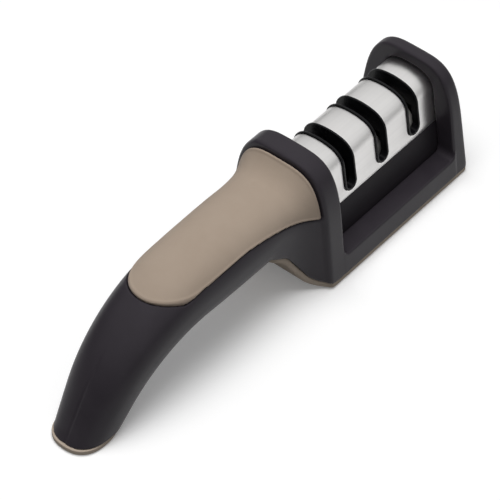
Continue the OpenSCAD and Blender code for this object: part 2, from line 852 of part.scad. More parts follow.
// Upper half of the cartridge: slot lips, chambers and the upper axle seats.
module slot_liner() {
    start = cart_start + sheet_t + fit;
    end = cart_end - sheet_t - fit;
    skin = sheet_t + fit;
    lip_gap = fit + lip_t;
    placed()
        color(liner_colour)
            difference() {
                union() {
                    along(start, end)
                        hump(liner_low_z, -skin);
                    intersection() {
                        along(start, end)
                            hump(slot_low_z, lip_proud);
                        across(wide)
                            for (x = stations)
                                notch(x, slot_w - 2 * fit, slot_low_z + fit);
                    }
                }
                for (x = stations) {
                    across(wide)
                        notch(x, slot_w - 2 * lip_gap, slot_low_z + lip_gap);
                    intersection() {
                        along(x - chamber_half, x + chamber_half)
                            hump(liner_low_z - 1, -skin - liner_wall);
                        translate([0, -wide, -wide])
                            cube([head_len, 2 * wide, wide + roof_z]);
                    }
                }
                for (i = [1, 2]) {
                    translate([stations[i] - seat_half - fit, -post_half_w - fit, liner_low_z - 1])
                        cube([2 * seat_half + 2 * fit, 2 * post_half_w + 2 * fit,
                            axle_z - liner_low_z + 1]);
                    translate([stations[i] - seat_half - fit, 0, axle_z])
                        rotate([0, 90, 0])
                            cylinder(r = axle_r + run_fit, h = 2 * seat_half + 2 * fit);
                }
                for (at = liner_screws_at)
                    pillar(at, screw_hole_r, liner_low_z - 1, flange_z + liner_screw_len + 0.5);
            }
}

module liner_screws() {
    placed()
        color(screw_colour)
            for (at = liner_screws_at)
                screw(at, flange_z, liner_screw_len);
}

// Formed sheet cover over the cartridge.
module steel_cover() {
    placed()
        color(steel_colour)
            difference() {
                along(cart_start, cart_end)
                    hump(cover_low_z, 0);
                along(cart_start - 1, cart_end + 1)
                    hump(cover_low_z - 1, -sheet_t);
                across(wide)
                    for (x = stations)
                        notch(x, slot_w, slot_low_z);
            }
}

// Cutter plate on one side of the middle plane, leaning the opposite way.
module cutter_solid(way, gap) {
    y0 = way > 0 ? cutter_gap - gap : -cutter_gap - cutter_t - gap;
    translate([stations[0], y0, cutter_cross_z])
        rotate([0, way * cutter_angle, 0])
            translate([way > 0 ? -gap : -cutter_w - gap, 0, cutter_above - cutter_len - gap])
                cube([cutter_w + 2 * gap, cutter_t + 2 * gap, cutter_len + 2 * gap]);
}

module cutter_left() {
    placed()
        color(carbide_colour)
            cutter_solid(1, 0);
}

module cutter_right() {
    placed()
        color(carbide_colour)
            cutter_solid(-1, 0);
}

module axle(i) {
    placed()
        color(screw_colour)
            translate([stations[i] - axle_half, 0, axle_z])
                rotate([0, 90, 0])
                    cylinder(r = axle_r, h = 2 * axle_half);
}

// Wheel with its grinding cone towards the slot's middle plane.
module wheel(i, way, tint) {
    placed()
        color(tint)
            translate([stations[i], 0, axle_z])
                rotate([0, way * 90, 0])
                    rotate_extrude()
                        polygon([[axle_r, 0], [wheel_hub_r, 0], [wheel_r, wheel_open], [wheel_r, wheel_t],
                            [axle_r, wheel_t]]);
}

module washers(i) {
    placed()
        color(screw_colour)
            for (way = [-1, 1])
                translate([stations[i], 0, axle_z])
                    rotate([0, way * 90, 0])
                        translate([0, 0, wheel_t])
                            difference() {
                                cylinder(r = washer_r, h = washer_t);
                                translate([0, 0, -1])
                                    cylinder(r = axle_r, h = washer_t + 2);
                            }
}

module medium_axle() {
    axle(1);
}

module medium_wheel_front() {
    wheel(1, -1, diamond_colour);
}

module medium_wheel_rear() {
    wheel(1, 1, diamond_colour);
}

module medium_washers() {
    washers(1);
}

module fine_axle() {
    axle(2);
}

module fine_wheel_front() {
    wheel(2, -1, ceramic_colour);
}

module fine_wheel_rear() {
    wheel(2, 1, ceramic_colour);
}

module fine_washers() {
    washers(2);
}

housing();
grip_pad();
handle_cover();
handle_screw();
foot();
base_pad();
base_plate();
base_screws();
cartridge_base();
cartridge_screws();
slot_liner();
liner_screws();
steel_cover();
cutter_left();
cutter_right();
medium_axle();
medium_wheel_front();
medium_wheel_rear();
medium_washers();
fine_axle();
fine_wheel_front();
fine_wheel_rear();
fine_washers();
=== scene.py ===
# %% [markdown]
# # A hand-held knife sharpener
# The object is a pull-through sharpener: a dark moulded body, a soft taupe grip and foot, and a
# formed steel cover with slots for the blade. The CAD model gives every size and joint. This lesson
# dresses that model: smooth moulded surfaces, soft edges and finishes that look right from any side.

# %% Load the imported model
import bpy
import bmesh
import numpy as np
from math import atan2, cos, exp, pi, radians, sin, sqrt, tan
from mathutils import Matrix, Quaternion, Vector


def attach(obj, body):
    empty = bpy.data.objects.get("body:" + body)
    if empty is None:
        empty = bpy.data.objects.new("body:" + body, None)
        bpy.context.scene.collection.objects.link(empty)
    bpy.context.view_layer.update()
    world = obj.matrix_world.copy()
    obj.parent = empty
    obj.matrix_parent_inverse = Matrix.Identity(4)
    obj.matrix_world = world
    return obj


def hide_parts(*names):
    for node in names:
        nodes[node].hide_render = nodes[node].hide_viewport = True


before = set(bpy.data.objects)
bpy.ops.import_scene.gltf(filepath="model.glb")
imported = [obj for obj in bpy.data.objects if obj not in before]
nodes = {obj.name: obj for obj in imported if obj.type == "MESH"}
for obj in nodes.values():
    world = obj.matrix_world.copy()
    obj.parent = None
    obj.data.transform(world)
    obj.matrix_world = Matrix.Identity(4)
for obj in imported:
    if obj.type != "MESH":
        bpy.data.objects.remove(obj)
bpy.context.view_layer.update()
scene = bpy.context.scene

# %% [markdown]
# ## Camera
# A product photo is taken from far away with a long lens, so parallel edges stay almost parallel.
# A camera is easiest to place by what it looks at: a target, two angles and a distance.

# %% Camera at the photo's angle
MM = 0.001
CAMERA_AZIMUTH, CAMERA_ELEVATION, CAMERA_ROLL = radians(-50.147), radians(46.793), radians(0.296)
CAMERA_DISTANCE = 1121.309 * MM
CAMERA_TARGET = Vector((0.028, -0.638, 20.916)) * MM
CAMERA_SENSOR, CAMERA_LENS, CLIP_NEAR, CLIP_FAR = 36.0, 216.5, 0.01, 20.0


def add_object(name, data):
    made = bpy.data.objects.new(name, data)
    scene.collection.objects.link(made)
    return made


camera = add_object("camera", bpy.data.cameras.new("camera"))
camera.data.sensor_width, camera.data.lens = CAMERA_SENSOR, CAMERA_LENS
to_camera = Vector((sin(CAMERA_AZIMUTH) * cos(CAMERA_ELEVATION),
                    -cos(CAMERA_AZIMUTH) * cos(CAMERA_ELEVATION),
                    sin(CAMERA_ELEVATION)))
camera.location = CAMERA_TARGET + to_camera * CAMERA_DISTANCE
camera.rotation_mode = "QUATERNION"
level = (-to_camera).to_track_quat("-Z", "Y")
camera.rotation_quaternion = level @ Quaternion((0, 0, 1), CAMERA_ROLL)
camera.data.clip_start, camera.data.clip_end = CLIP_NEAR, CLIP_FAR
scene.camera = camera
scene.view_settings.view_transform = "Standard"
print("camera at", [round(v, 3) for v in camera.location])

# %% [markdown]
# ## Studio
# The photo has a white sweep, one broad soft light from straight above and a soft shadow under the handle.
# Three things make it here: a paper floor, a grey world and one large lamp. First come a few helpers that
# every material below uses too.

# %% Helpers for node trees
def connect(tree, *links):
    """Links between nodes, each given as a node, its output, the next node and its input."""
    for source, out, target, into in links:
        tree.links.new(source.outputs[out], target.inputs[into])


def new_material(name):
    """An empty material with a Principled shader: the material, its node tree and that shader."""
    made = bpy.data.materials.new(name)
    made.use_nodes = True
    tree = made.node_tree
    return made, tree, tree.nodes["Principled BSDF"]


def add_node(tree, kind, **settings):
    """A shader node with its properties and, by input name, its constant inputs."""
    made = tree.nodes.new("ShaderNode" + kind)
    for key, value in settings.items():
        if key in made.inputs:
            made.inputs[key].default_value = value
        else:
            setattr(made, key, value)
    return made


def add_math(tree, operation, constant=0.5):
    """A math node with a constant in its second input."""
    made = add_node(tree, "Math", operation=operation)
    made.inputs[1].default_value = constant
    return made


def grey(tone):
    return (tone, tone, tone, 1)


def seen_directly(tree):
    """A node that gives 1 for rays from the camera, from a mirror or through glass, otherwise 0."""
    path = add_node(tree, "LightPath")
    source, out = path, "Is Camera Ray"
    for label in ("Is Glossy Ray", "Is Transmission Ray"):
        either = add_math(tree, "MAXIMUM")
        connect(tree, (source, out, either, 0), (path, label, either, 1))
        source, out = either, 0
    return source


print("helpers for node trees are ready")

# %% [markdown]
# The floor is white for the camera and in reflections, and glows a little there, so that the background is
# white and the shadow stays soft. For light that bounces off it the paper is darker. Without that the
# undersides would be lit from below and the object would seem to float.

# %% Floor
FLOOR_HALF, FLOOR_WHITE, FLOOR_BOUNCE, FLOOR_GLOW, FLOOR_ROUGH, FLOOR_SHINE = 2.5, 0.94, 0.3, 0.15, 0.9, 0.1
corners = [(x * FLOOR_HALF, y * FLOOR_HALF, 0) for x, y in ((-1, -1), (1, -1), (1, 1), (-1, 1))]
floor_mesh = bpy.data.meshes.new("floor")
floor_mesh.from_pydata(corners, [], [(0, 1, 2, 3)])
floor = add_object("floor", floor_mesh)
floor_paint, tree, shader = new_material("floor_paper")
shader.inputs["Roughness"].default_value = FLOOR_ROUGH
shader.inputs["Specular IOR Level"].default_value = FLOOR_SHINE
shader.inputs["Emission Strength"].default_value = 1.0
direct = seen_directly(tree)
for socket, bounced, seen in (("Base Color", FLOOR_BOUNCE, FLOOR_WHITE), ("Emission Color", 0.0, FLOOR_GLOW)):
    tone = add_node(tree, "Mix", data_type="RGBA", A=grey(bounced), B=grey(seen))
    connect(tree, (direct, 0, tone, "Factor"), (tone, "Result", shader, socket))
floor_mesh.materials.append(floor_paint)
print("floor:", 2 * FLOOR_HALF, "m wide")

# %% [markdown]
# The world is a grey room: bright overhead and dark near the horizon, and darker on the handle's side than
# behind the head. The black mouldings and the brushed steel mirror it, which gives them their contrast. As light
# on the object it counts for a third of that.

# %% World
WORLD_LIGHT = 0.34
REAR_SKY = [(0.0, 0.12), (0.12, 0.16), (0.24, 0.72), (0.55, 0.9), (0.8, 0.98)]
FRONT_SKY = [(0.0, 0.1), (0.3, 0.12), (0.5, 0.5), (0.7, 0.95)]
FRONT_SIDE, SIDE_BLEND = (-0.8, 0.6, 0.0), {"From Min": 0.0, "From Max": 0.5}
world = bpy.data.worlds.new("studio")
scene.world = world
world.use_nodes = True
tree = world.node_tree
place = add_node(tree, "TexCoord")
split = add_node(tree, "SeparateXYZ")


def tone_ramp(stops):
    """A ramp of greys over the height of a direction, from 0 at the horizon to 1 overhead."""
    made = add_node(tree, "ValToRGB")
    made.color_ramp.elements.remove(made.color_ramp.elements[1])
    made.color_ramp.elements[0].position, made.color_ramp.elements[0].color = stops[0][0], grey(stops[0][1])
    for height, tone in stops[1:]:
        made.color_ramp.elements.new(height).color = grey(tone)
    connect(tree, (split, "Z", made, 0))
    return made


facing = add_node(tree, "VectorMath", operation="DOT_PRODUCT")
facing.inputs[1].default_value = FRONT_SIDE
side_share = add_node(tree, "MapRange", interpolation_type="SMOOTHSTEP", **SIDE_BLEND)
room = add_node(tree, "Mix", data_type="RGBA")
strength = add_node(tree, "MapRange", **{"To Min": WORLD_LIGHT, "To Max": 1.0})
background = tree.nodes["Background"]
connect(tree, (place, "Generated", split, 0), (place, "Generated", facing, 0),
        (facing, "Value", side_share, "Value"), (side_share, "Result", room, "Factor"),
        (tone_ramp(REAR_SKY), "Color", room, "A"), (tone_ramp(FRONT_SKY), "Color", room, "B"),
        (room, "Result", background, "Color"), (seen_directly(tree), 0, strength, "Value"),
        (strength, "Result", background, "Strength"))
print("world nodes:", len(tree.nodes))

# %% [markdown]
# The lamp hangs above the neck and is large, so that the shadow has a soft edge. It is kept out of mirror
# images: the steel shows the even grey room, and no hot spot sits on its crown.

# %% Lamp
LAMP_AT, LAMP_AIM, LAMP_SIZE, LAMP_POWER = Vector((-0.03, 0.05, 1.1)), Vector((0, 0, 0.02)), 0.7, 9.3
lamp = bpy.data.lights.new("overhead_lamp", "AREA")
lamp.shape, lamp.size, lamp.energy = "SQUARE", LAMP_SIZE, LAMP_POWER
holder = add_object("overhead_lamp", lamp)
holder.location = LAMP_AT
holder.visible_glossy = False
holder.rotation_mode = "QUATERNION"
holder.rotation_quaternion = (LAMP_AIM - LAMP_AT).to_track_quat("-Z", "Y")
print("lamp:", LAMP_SIZE, "m wide, at", [round(v, 2) for v in LAMP_AT])

# %% [markdown]
# ## Effects that several finishes share
# Moulded plastic, rubber and steel all have fine detail that is too small to model. Each effect is a
# node group that is built once: a fine grain for bump, soft blotches for handling marks, and brush
# lines. A group only puts out values that change over the surface; the shader stays in the material.

# %% Node groups
def new_group(name, inputs, outputs):
    """A shader node group with float inputs (name, default) and float outputs."""
    group = bpy.data.node_groups.new(name, "ShaderNodeTree")
    for label, value in inputs:
        socket = group.interface.new_socket(label, in_out="INPUT", socket_type="NodeSocketFloat")
        socket.default_value = value
    for label in outputs:
        group.interface.new_socket(label, in_out="OUTPUT", socket_type="NodeSocketFloat")
    return group, group.nodes.new("NodeGroupInput"), group.nodes.new("NodeGroupOutput")


CELL_SHARE, MARKS_LOW, MARKS_TOP, STREAK_SHARE = 0.6, 0.5, 0.78, 0.12
grain_group, enter, leave = new_group("fine_grain", [("Scale", 2500.0), ("Coarse", 0.35)], ["Height"])
tree = grain_group
place = add_node(tree, "TexCoord")
small = add_node(tree, "TexNoise", Detail=3.0, Roughness=0.6)
cells = add_node(tree, "TexVoronoi", feature="SMOOTH_F1")
blend = add_node(tree, "Mix", data_type="FLOAT")
cell_scale = add_math(tree, "MULTIPLY", CELL_SHARE)
connect(tree, (place, "Object", small, "Vector"), (place, "Object", cells, "Vector"),
        (enter, "Scale", small, "Scale"), (enter, "Scale", cell_scale, 0), (cell_scale, 0, cells, "Scale"),
        (enter, "Coarse", blend, "Factor"), (small, "Fac", blend, "A"), (cells, "Distance", blend, "B"),
        (blend, "Result", leave, "Height"))

marks_group, enter, leave = new_group("handling_marks", [("Scale", 70.0), ("Sharpness", 0.5)], ["Mask"])
tree = marks_group
place = add_node(tree, "TexCoord")
patches = add_node(tree, "TexNoise", Detail=5.0, Roughness=0.62, Distortion=0.4)
reach = add_node(tree, "MapRange", interpolation_type="SMOOTHSTEP", **{"From Max": MARKS_TOP})
start = add_math(tree, "MULTIPLY", MARKS_LOW)
connect(tree, (place, "Object", patches, "Vector"), (enter, "Scale", patches, "Scale"),
        (enter, "Sharpness", start, 0), (start, 0, reach, "From Min"), (patches, "Fac", reach, "Value"),
        (reach, "Result", leave, "Mask"))

brush_group, enter, leave = new_group("brush_lines", [("Fineness", 5200.0), ("Stretch", 0.012)],
                                      ["Lines", "Streaks"])
tree = brush_group
place = add_node(tree, "TexCoord")
stretch = add_node(tree, "CombineXYZ", Y=1.0, Z=1.0)
squeeze = add_node(tree, "VectorMath", operation="MULTIPLY")
fine = add_node(tree, "TexNoise", Detail=4.0, Roughness=0.7)
broad = add_node(tree, "TexNoise", Detail=2.0, Roughness=0.5)
streak_scale = add_math(tree, "MULTIPLY", STREAK_SHARE)
connect(tree, (enter, "Stretch", stretch, "X"), (place, "Object", squeeze, 0), (stretch, 0, squeeze, 1),
        (squeeze, 0, fine, "Vector"), (squeeze, 0, broad, "Vector"), (enter, "Fineness", fine, "Scale"),
        (enter, "Fineness", streak_scale, 0), (streak_scale, 0, broad, "Scale"), (fine, "Fac", leave, "Lines"),
        (broad, "Fac", leave, "Streaks"))
print("groups:", [g.name for g in bpy.data.node_groups])

# %% [markdown]
# ## Finishes
# Every finish follows one plan: a base colour with a second tone where hands leave marks, a roughness
# that varies with the same mask, and a fine bump. One function builds that plan, and each finish gets
# its own colours, scales and depths.

# %% Moulded and ground finishes
def ranged(tree, source, out, low, high):
    """A node that spreads an output from 0 to 1 between two other values."""
    made = add_node(tree, "MapRange", **{"To Min": low, "To Max": high})
    connect(tree, (source, out, made, "Value"))
    return made


def finish(name, tone, second, rough, grain, depth, marks=70.0, metal=0.0, sheen=0.0, coarse=0.35, level=0.5):
    """A finish with two tones, a pair of roughness values and a fine bump of a depth in mm."""
    made, tree, shader = new_material(name)
    mask = add_node(tree, "Group", node_tree=marks_group, Scale=marks)
    height = add_node(tree, "Group", node_tree=grain_group, Scale=grain, Coarse=coarse)
    mix = add_node(tree, "Mix", data_type="RGBA", A=(*tone, 1), B=(*second, 1))
    bump = add_node(tree, "Bump", Strength=1.0, Distance=depth * MM)
    connect(tree, (mask, "Mask", mix, "Factor"), (mix, "Result", shader, "Base Color"),
            (ranged(tree, mask, "Mask", *rough), "Result", shader, "Roughness"),
            (height, "Height", bump, "Height"), (bump, "Normal", shader, "Normal"))
    for label, value in (("Metallic", metal), ("Specular IOR Level", level), ("Sheen Weight", sheen)):
        shader.inputs[label].default_value = value
    return made


charcoal = finish("charcoal_moulding", (0.025, 0.021, 0.0265), (0.031, 0.0265, 0.0325), (0.36, 0.44),
                  2600.0, 0.03, marks=45.0, level=0.2)
cartridge_black = finish("cartridge_moulding", (0.019, 0.0165, 0.02), (0.024, 0.021, 0.025), (0.42, 0.5),
                         2400.0, 0.03, marks=60.0, level=0.1)
taupe = finish("soft_taupe", (0.385, 0.31, 0.247), (0.36, 0.288, 0.228), (0.72, 0.82), 3200.0, 0.03,
               marks=55.0, sheen=0.06, level=0.35)
# The foot and pad use the grip's taupe painted lighter: painted light that stands in for light bounced up from the
# floor onto their low faces.
taupe_painted_floor_light = finish("taupe_painted_floor_light", (0.5, 0.42, 0.345), (0.46, 0.385, 0.315), (0.78, 0.9), 1800.0, 0.06,
                   marks=90.0, level=0.3)
gloss_black = finish("slot_moulding", (0.004, 0.004, 0.005), (0.007, 0.007, 0.008), (0.2, 0.28),
                     1800.0, 0.01, marks=110.0, level=0.16)
inner_black = finish("inner_moulding", (0.014, 0.013, 0.015), (0.02, 0.019, 0.021), (0.5, 0.6), 2200.0,
                     0.03, marks=80.0)
zinc = finish("zinc_plate", (0.55, 0.55, 0.56), (0.42, 0.42, 0.44), (0.3, 0.5), 2600.0, 0.02, marks=260.0,
              metal=1.0)
ground_steel = finish("ground_axle_steel", (0.62, 0.62, 0.63), (0.5, 0.5, 0.51), (0.22, 0.36), 3000.0, 0.01,
                      marks=220.0, metal=1.0)
hard_metal = finish("hard_metal", (0.2, 0.2, 0.215), (0.15, 0.15, 0.16), (0.3, 0.45), 2400.0, 0.02, marks=240.0,
                    metal=1.0)
medium_grit = finish("medium_grit", (0.3, 0.29, 0.285), (0.2, 0.195, 0.19), (0.7, 0.9), 2400.0, 0.12,
                     marks=700.0, coarse=0.8)
fine_grit = finish("fine_ceramic_grit", (0.74, 0.72, 0.68), (0.62, 0.6, 0.565), (0.55, 0.7), 3600.0, 0.05,
                   marks=500.0, coarse=0.6)
washer_white = finish("washer_moulding", (0.68, 0.67, 0.63), (0.6, 0.59, 0.55), (0.4, 0.5), 2000.0, 0.02,
                      marks=200.0)
print("finishes:", len(bpy.data.materials))

# %% [markdown]
# Brushed steel needs its own material. Brushing leaves fine scratches along one direction, here along
# the length of the head. They show as streaks in roughness and as a very shallow bump, and they
# stretch the highlights across the scratches.

# %% Brushed steel
STEEL_TONE, STEEL_STREAK, STEEL_ROUGH = (0.7, 0.69, 0.68, 1), (0.78, 0.77, 0.76, 1), (0.3, 0.35)
LINE_ROUGH, LINE_DEPTH, BRUSH_SPREAD = 0.1, 0.006, 0.5
brushed, tree, shader = new_material("brushed_cover_steel")
shader.inputs["Metallic"].default_value = 1.0
shader.inputs["Anisotropic"].default_value = BRUSH_SPREAD
lines = add_node(tree, "Group", node_tree=brush_group, Fineness=5200.0, Stretch=0.012)
mask = add_node(tree, "Group", node_tree=marks_group, Scale=60.0)
mix = add_node(tree, "Mix", data_type="RGBA", A=STEEL_TONE, B=STEEL_STREAK)
around = add_node(tree, "Tangent", direction_type="RADIAL", axis="X")
rough = add_math(tree, "MULTIPLY_ADD", LINE_ROUGH)
bump = add_node(tree, "Bump", Strength=1.0, Distance=LINE_DEPTH * MM)
connect(tree, (lines, "Streaks", mix, "Factor"), (mix, "Result", shader, "Base Color"),
        (around, "Tangent", shader, "Tangent"), (lines, "Lines", rough, 0),
        (ranged(tree, mask, "Mask", *STEEL_ROUGH), "Result", rough, 2), (rough, 0, shader, "Roughness"),
        (lines, "Lines", bump, "Height"), (bump, "Normal", shader, "Normal"))
# A brighter copy of the steel for the bevelled cut edges: a painted highlight, not the sheet's own colour.
painted_highlight_steel = finish("painted_highlight_steel_edge", (0.93, 0.92, 0.91), (0.86, 0.85, 0.84), (0.28, 0.36), 2600.0, 0.01,
                  marks=180.0, metal=1.0)
print("brushed steel:", len(tree.nodes), "nodes")

# %% [markdown]
# ## Shapes shared by the moulding, the grip and the pad
# The body is a loft: a row of closed outlines along a middle line that runs straight from the head and
# then bends down. Each outline is a superellipse, a curve between an ellipse and a rounded box. The
# sizes below are the CAD model's own, in millimetres, with x = 0 at the front edge of the head.

# %% Sizes of the body
HEAD_LEN, HEAD_W, FRONT_H, REAR_H = 83.9, 51.4, 56.9, 52.5
FRONT_T, REAR_T, RAIL_H, WALL_EDGE, WALL_INNER = 7.5, 8.4, 11.5, 2.0, 0.9
WALL_ROOT, WALL_LEAN, REAR_LEAN, REAR_TILT, RAIL_LEAN = 3.0, 0.095, 0.13, radians(2.5), 0.09
SHOULDER_P, BELLY_Z, LOW_P = 3.9, 20.0, 12.0
NECK_HALF, NECK_RISE, NECK_DEPTH, END_HALF_W, END_HALF, TAPER = 16.1, 13.5, 10.6, 10.8, 9.5, 2.0
AXIS_Z, STRAIGHT, BEND_R, DROP = 35.6, 58.7, 55.0, radians(53)
SIDE_FLARE, FLARE_CURVE, NECK_START, TOP_FLARE, TOP_P, NECK_LOW_P = 22.0, 2.8, 33.0, 11.5, 2.4, 3.0
NECK_LEAD, NECK_RUN, UNDER = 3.0, 13.0, 2.0
FOOT_T, FOOT_SEAM, PAD_T, FLOOR_Z, SKIN_BASE = 3.0, 2.4, 2.5, 9.0, 2.0
WINDOW_END = HEAD_LEN - REAR_T
HALF_BASE = HEAD_W / 2
BEND_X = -STRAIGHT - BEND_R * sin(DROP)
BEND_Z = AXIS_Z - BEND_R * (1 - cos(DROP))
STRAIGHT_LEN, ARC_LEN = STRAIGHT - NECK_START, BEND_R * DROP
AXIS_LEN = STRAIGHT_LEN + ARC_LEN + BEND_Z / sin(DROP)
TAIL_LEN = AXIS_LEN + END_HALF / tan(DROP) + 1
FOOT_X = BEND_X - BEND_Z / tan(DROP) + FOOT_T / 2 / tan(DROP)
FOOT_A = END_HALF / sin(DROP)
SHIFT = -(HEAD_LEN + FOOT_X - FOOT_A) / 2
WALL_HALF = HALF_BASE - WALL_LEAN * BELLY_Z
REAR_HALF = HALF_BASE - REAR_LEAN * BELLY_Z
RING, HANDLE_STEPS, FLARE_STEPS = 192, 90, 60
print("length in mm from the sizes:", round(HEAD_LEN - FOOT_X + FOOT_A, 2))

# %% [markdown]
# An outline is drawn round its own middle. A station then puts it on the middle line and turns it by the
# line's slope. That keeps every outline square to the handle, in the bend too.

# %% Outlines and the middle line
def unit(t):
    return max(0.0, min(1.0, t))


def full_turn(steps):
    """Equal angles round a circle."""
    return np.arange(steps) * 2 * pi / steps


def ease(t):
    return (1 - cos(pi * unit(t))) / 2


def round_in(r, t):
    """How far an edge with a radius is drawn in, at a distance from its end."""
    return r - sqrt(max(0.0, r * r - (r - t) ** 2))


def outline(half, up, down, p_up, p_down, lean):
    """Closed superellipse across the length, as (y, z) from its middle."""
    turn = full_turn(RING)
    c, s = np.cos(turn), np.sin(turn)
    p = np.where(s >= 0, p_up, p_down)
    r = (np.abs(c) ** p + np.abs(s) ** p) ** (-1 / p)
    z = np.where(s >= 0, up, down) * r * s
    return (half - lean * z) * r * c, z


def station(x, z, slope, shape):
    """An outline put on the middle line at x, z and turned by its slope."""
    y, up = shape
    return np.stack([x - sin(slope) * up, y, z + cos(slope) * up], axis=1)


def axis_at(s):
    """The middle line at a distance from the neck: x, z and slope."""
    if s < STRAIGHT_LEN:
        return -NECK_START - s, AXIS_Z, 0.0
    if s < STRAIGHT_LEN + ARC_LEN:
        a = (s - STRAIGHT_LEN) / BEND_R
        return -STRAIGHT - BEND_R * sin(a), AXIS_Z - BEND_R * (1 - cos(a)), a
    t = s - STRAIGHT_LEN - ARC_LEN
    return BEND_X - t * cos(DROP), BEND_Z - t * sin(DROP), DROP


print("middle line:", round(AXIS_LEN, 1), "mm long")

# %% [markdown]
# The rings come in four kinds. Those of the handle narrow towards the foot, those of the flare widen from the
# neck to the head, and the two end walls have one kind each. An offset makes the same rings larger or smaller,
# which the grip needs later.

# %% Rings of the handle, the flare and the walls
def narrowed(s):
    """How far the handle has narrowed at a distance from the neck, from 0 to 1."""
    return unit(s / AXIS_LEN) ** TAPER


def handle_low(s):
    return NECK_DEPTH + (END_HALF - NECK_DEPTH) * narrowed(s)


def handle_ring(s, off):
    e = narrowed(s)
    return station(*axis_at(s), outline(
        NECK_HALF + (END_HALF_W - NECK_HALF) * e + off, NECK_RISE + (END_HALF - NECK_RISE) * e + off,
        handle_low(s), TOP_P, NECK_LOW_P + (TOP_P - NECK_LOW_P) * e, 0.0))


def flare_share(x):
    return unit((x + SIDE_FLARE) / (SIDE_FLARE - WALL_EDGE)) ** FLARE_CURVE


def flare_half(x):
    return NECK_HALF + (WALL_HALF - WALL_EDGE - NECK_HALF) * flare_share(x)


def flare_side(x):
    """The flare seen from the side: its middle, its low edge and the power of its lower curve."""
    q = ease((x + SIDE_FLARE + NECK_LEAD) / NECK_RUN)
    return (AXIS_Z + (BELLY_Z - AXIS_Z) * flare_share(x), (AXIS_Z - NECK_DEPTH) * (1 - q) - UNDER * q,
            NECK_LOW_P + (LOW_P - NECK_LOW_P) * q)


def flare_ring(x, off):
    w = flare_share(x)
    v = unit((x + TOP_FLARE) / (TOP_FLARE - WALL_EDGE)) ** 2
    neck_top = AXIS_Z + NECK_RISE
    mid, low, p_low = flare_side(x)
    top = neck_top + (FRONT_H - WALL_EDGE - neck_top) * v
    return station(x, mid, 0.0, outline(flare_half(x) + off, top - mid + off, mid - low,
                                        TOP_P + (SHOULDER_P - TOP_P) * w, p_low, WALL_LEAN * w))


def handle_rings(off=0.0):
    """The rings from the foot to the neck."""
    return [handle_ring(TAIL_LEN * i / HANDLE_STEPS, off) for i in range(HANDLE_STEPS, 0, -1)]


def flare_rings(off=0.0):
    """The rings from the neck to the front wall."""
    return [flare_ring(-NECK_START + i * (NECK_START - WALL_EDGE) / FLARE_STEPS, off)
            for i in range(FLARE_STEPS + 1)]


def wall_ring(x, inset):
    return station(x, BELLY_Z, 0.0, outline(WALL_HALF - inset, FRONT_H - BELLY_Z - inset, BELLY_Z + UNDER,
                                            SHOULDER_P, LOW_P, WALL_LEAN))


def rear_ring(x, tilt, inset):
    return station(x - tan(tilt) * BELLY_Z, BELLY_Z, tilt,
                   outline(REAR_HALF - inset, (REAR_H - BELLY_Z - inset) / cos(tilt), BELLY_Z + UNDER,
                           SHOULDER_P, LOW_P, REAR_LEAN))


print("rings:", HANDLE_STEPS + FLARE_STEPS + 1, "with", RING, "points each")

# %% [markdown]
# ## Solids, cuts and soft edges
# Moulded parts have no sharp edges. A quick way to soft edges on a shape with many cuts is to build it
# from exact solids with Boolean cuts, and then to remesh it finely and relax the result a little. The
# helpers below work in millimetres and shrink the finished mesh to metres.

# %% Helpers for solids
MERGE_REACH = 1e-5


def make_object(name, points, faces):
    mesh = bpy.data.meshes.new(name)
    mesh.from_pydata([tuple(map(float, p)) for p in points], [], faces)
    work = bmesh.new()
    work.from_mesh(mesh)
    bmesh.ops.remove_doubles(work, verts=work.verts, dist=MERGE_REACH)
    bmesh.ops.recalc_face_normals(work, faces=work.faces)
    work.to_mesh(mesh)
    work.free()
    return add_object(name, mesh)


def band_faces(rows, n, closed=False):
    """Faces between neighbouring rings of n points; a closed row also joins its last ring to its first."""
    return [(i * n + k, i * n + (k + 1) % n, (i + 1) % rows * n + (k + 1) % n, (i + 1) % rows * n + k)
            for i in range(rows if closed else rows - 1) for k in range(n)]


def loft(name, rings):
    """A closed solid through a row of rings with the same number of points."""
    n = len(rings[0])
    ends = [tuple(range(n))[::-1], tuple(range((len(rings) - 1) * n, len(rings) * n))]
    return make_object(name, np.concatenate(rings), band_faces(len(rings), n) + ends)


def prism(name, shape, place, low, high):
    """A flat outline pushed between two heights; place puts (u, v, height) into x, y, z."""
    n = len(shape)
    points = [place(u, v, h) for h in (low, high) for u, v in shape]
    faces = [tuple(range(n))[::-1], tuple(range(n, 2 * n))]
    faces += [(k, (k + 1) % n, n + (k + 1) % n, n + k) for k in range(n)]
    return make_object(name, points, faces)


def side_prism(name, shape, half):
    return prism(name, shape, lambda u, v, h: (u, h, v), -half, half)


def plan_prism(name, shape, low, high):
    return prism(name, shape, lambda u, v, h: (u, v, h), low, high)


def end_prism(name, shape, x0, x1):
    return prism(name, shape, lambda u, v, h: (h, u, v), x0, x1)


def box(x0, y0, x1, y1):
    """The corners of a rectangle."""
    return [(x0, y0), (x1, y0), (x1, y1), (x0, y1)]


def disc(at, r, steps=48):
    return [(at[0] + r * cos(a), at[1] + r * sin(a)) for a in full_turn(steps)]


print("helpers for solids are ready")

# %% [markdown]
# The next helpers work on a finished solid: they cut it, round its edges, and at last dress it. Dressing
# shrinks it to metres, gives it a finish and ties it to the body that it moves with.

# %% Helpers for cuts, edges and finishes
RELAX_SHARE = 0.5


def bake_modifiers(obj):
    """Puts the result of an object's modifiers into its mesh."""
    graph = bpy.context.evaluated_depsgraph_get()
    made = bpy.data.meshes.new_from_object(obj.evaluated_get(graph))
    old = obj.data
    obj.modifiers.clear()
    obj.data = made
    bpy.data.meshes.remove(old)
    return obj


def combine(target, tool, operation):
    """Cuts, joins or intersects a solid with another, which is then thrown away."""
    step = target.modifiers.new("step", "BOOLEAN")
    step.operation, step.object, step.solver = operation, tool, "EXACT"
    bake_modifiers(target)
    bpy.data.objects.remove(tool)
    return target


def cut(target, tool):
    return combine(target, tool, "DIFFERENCE")


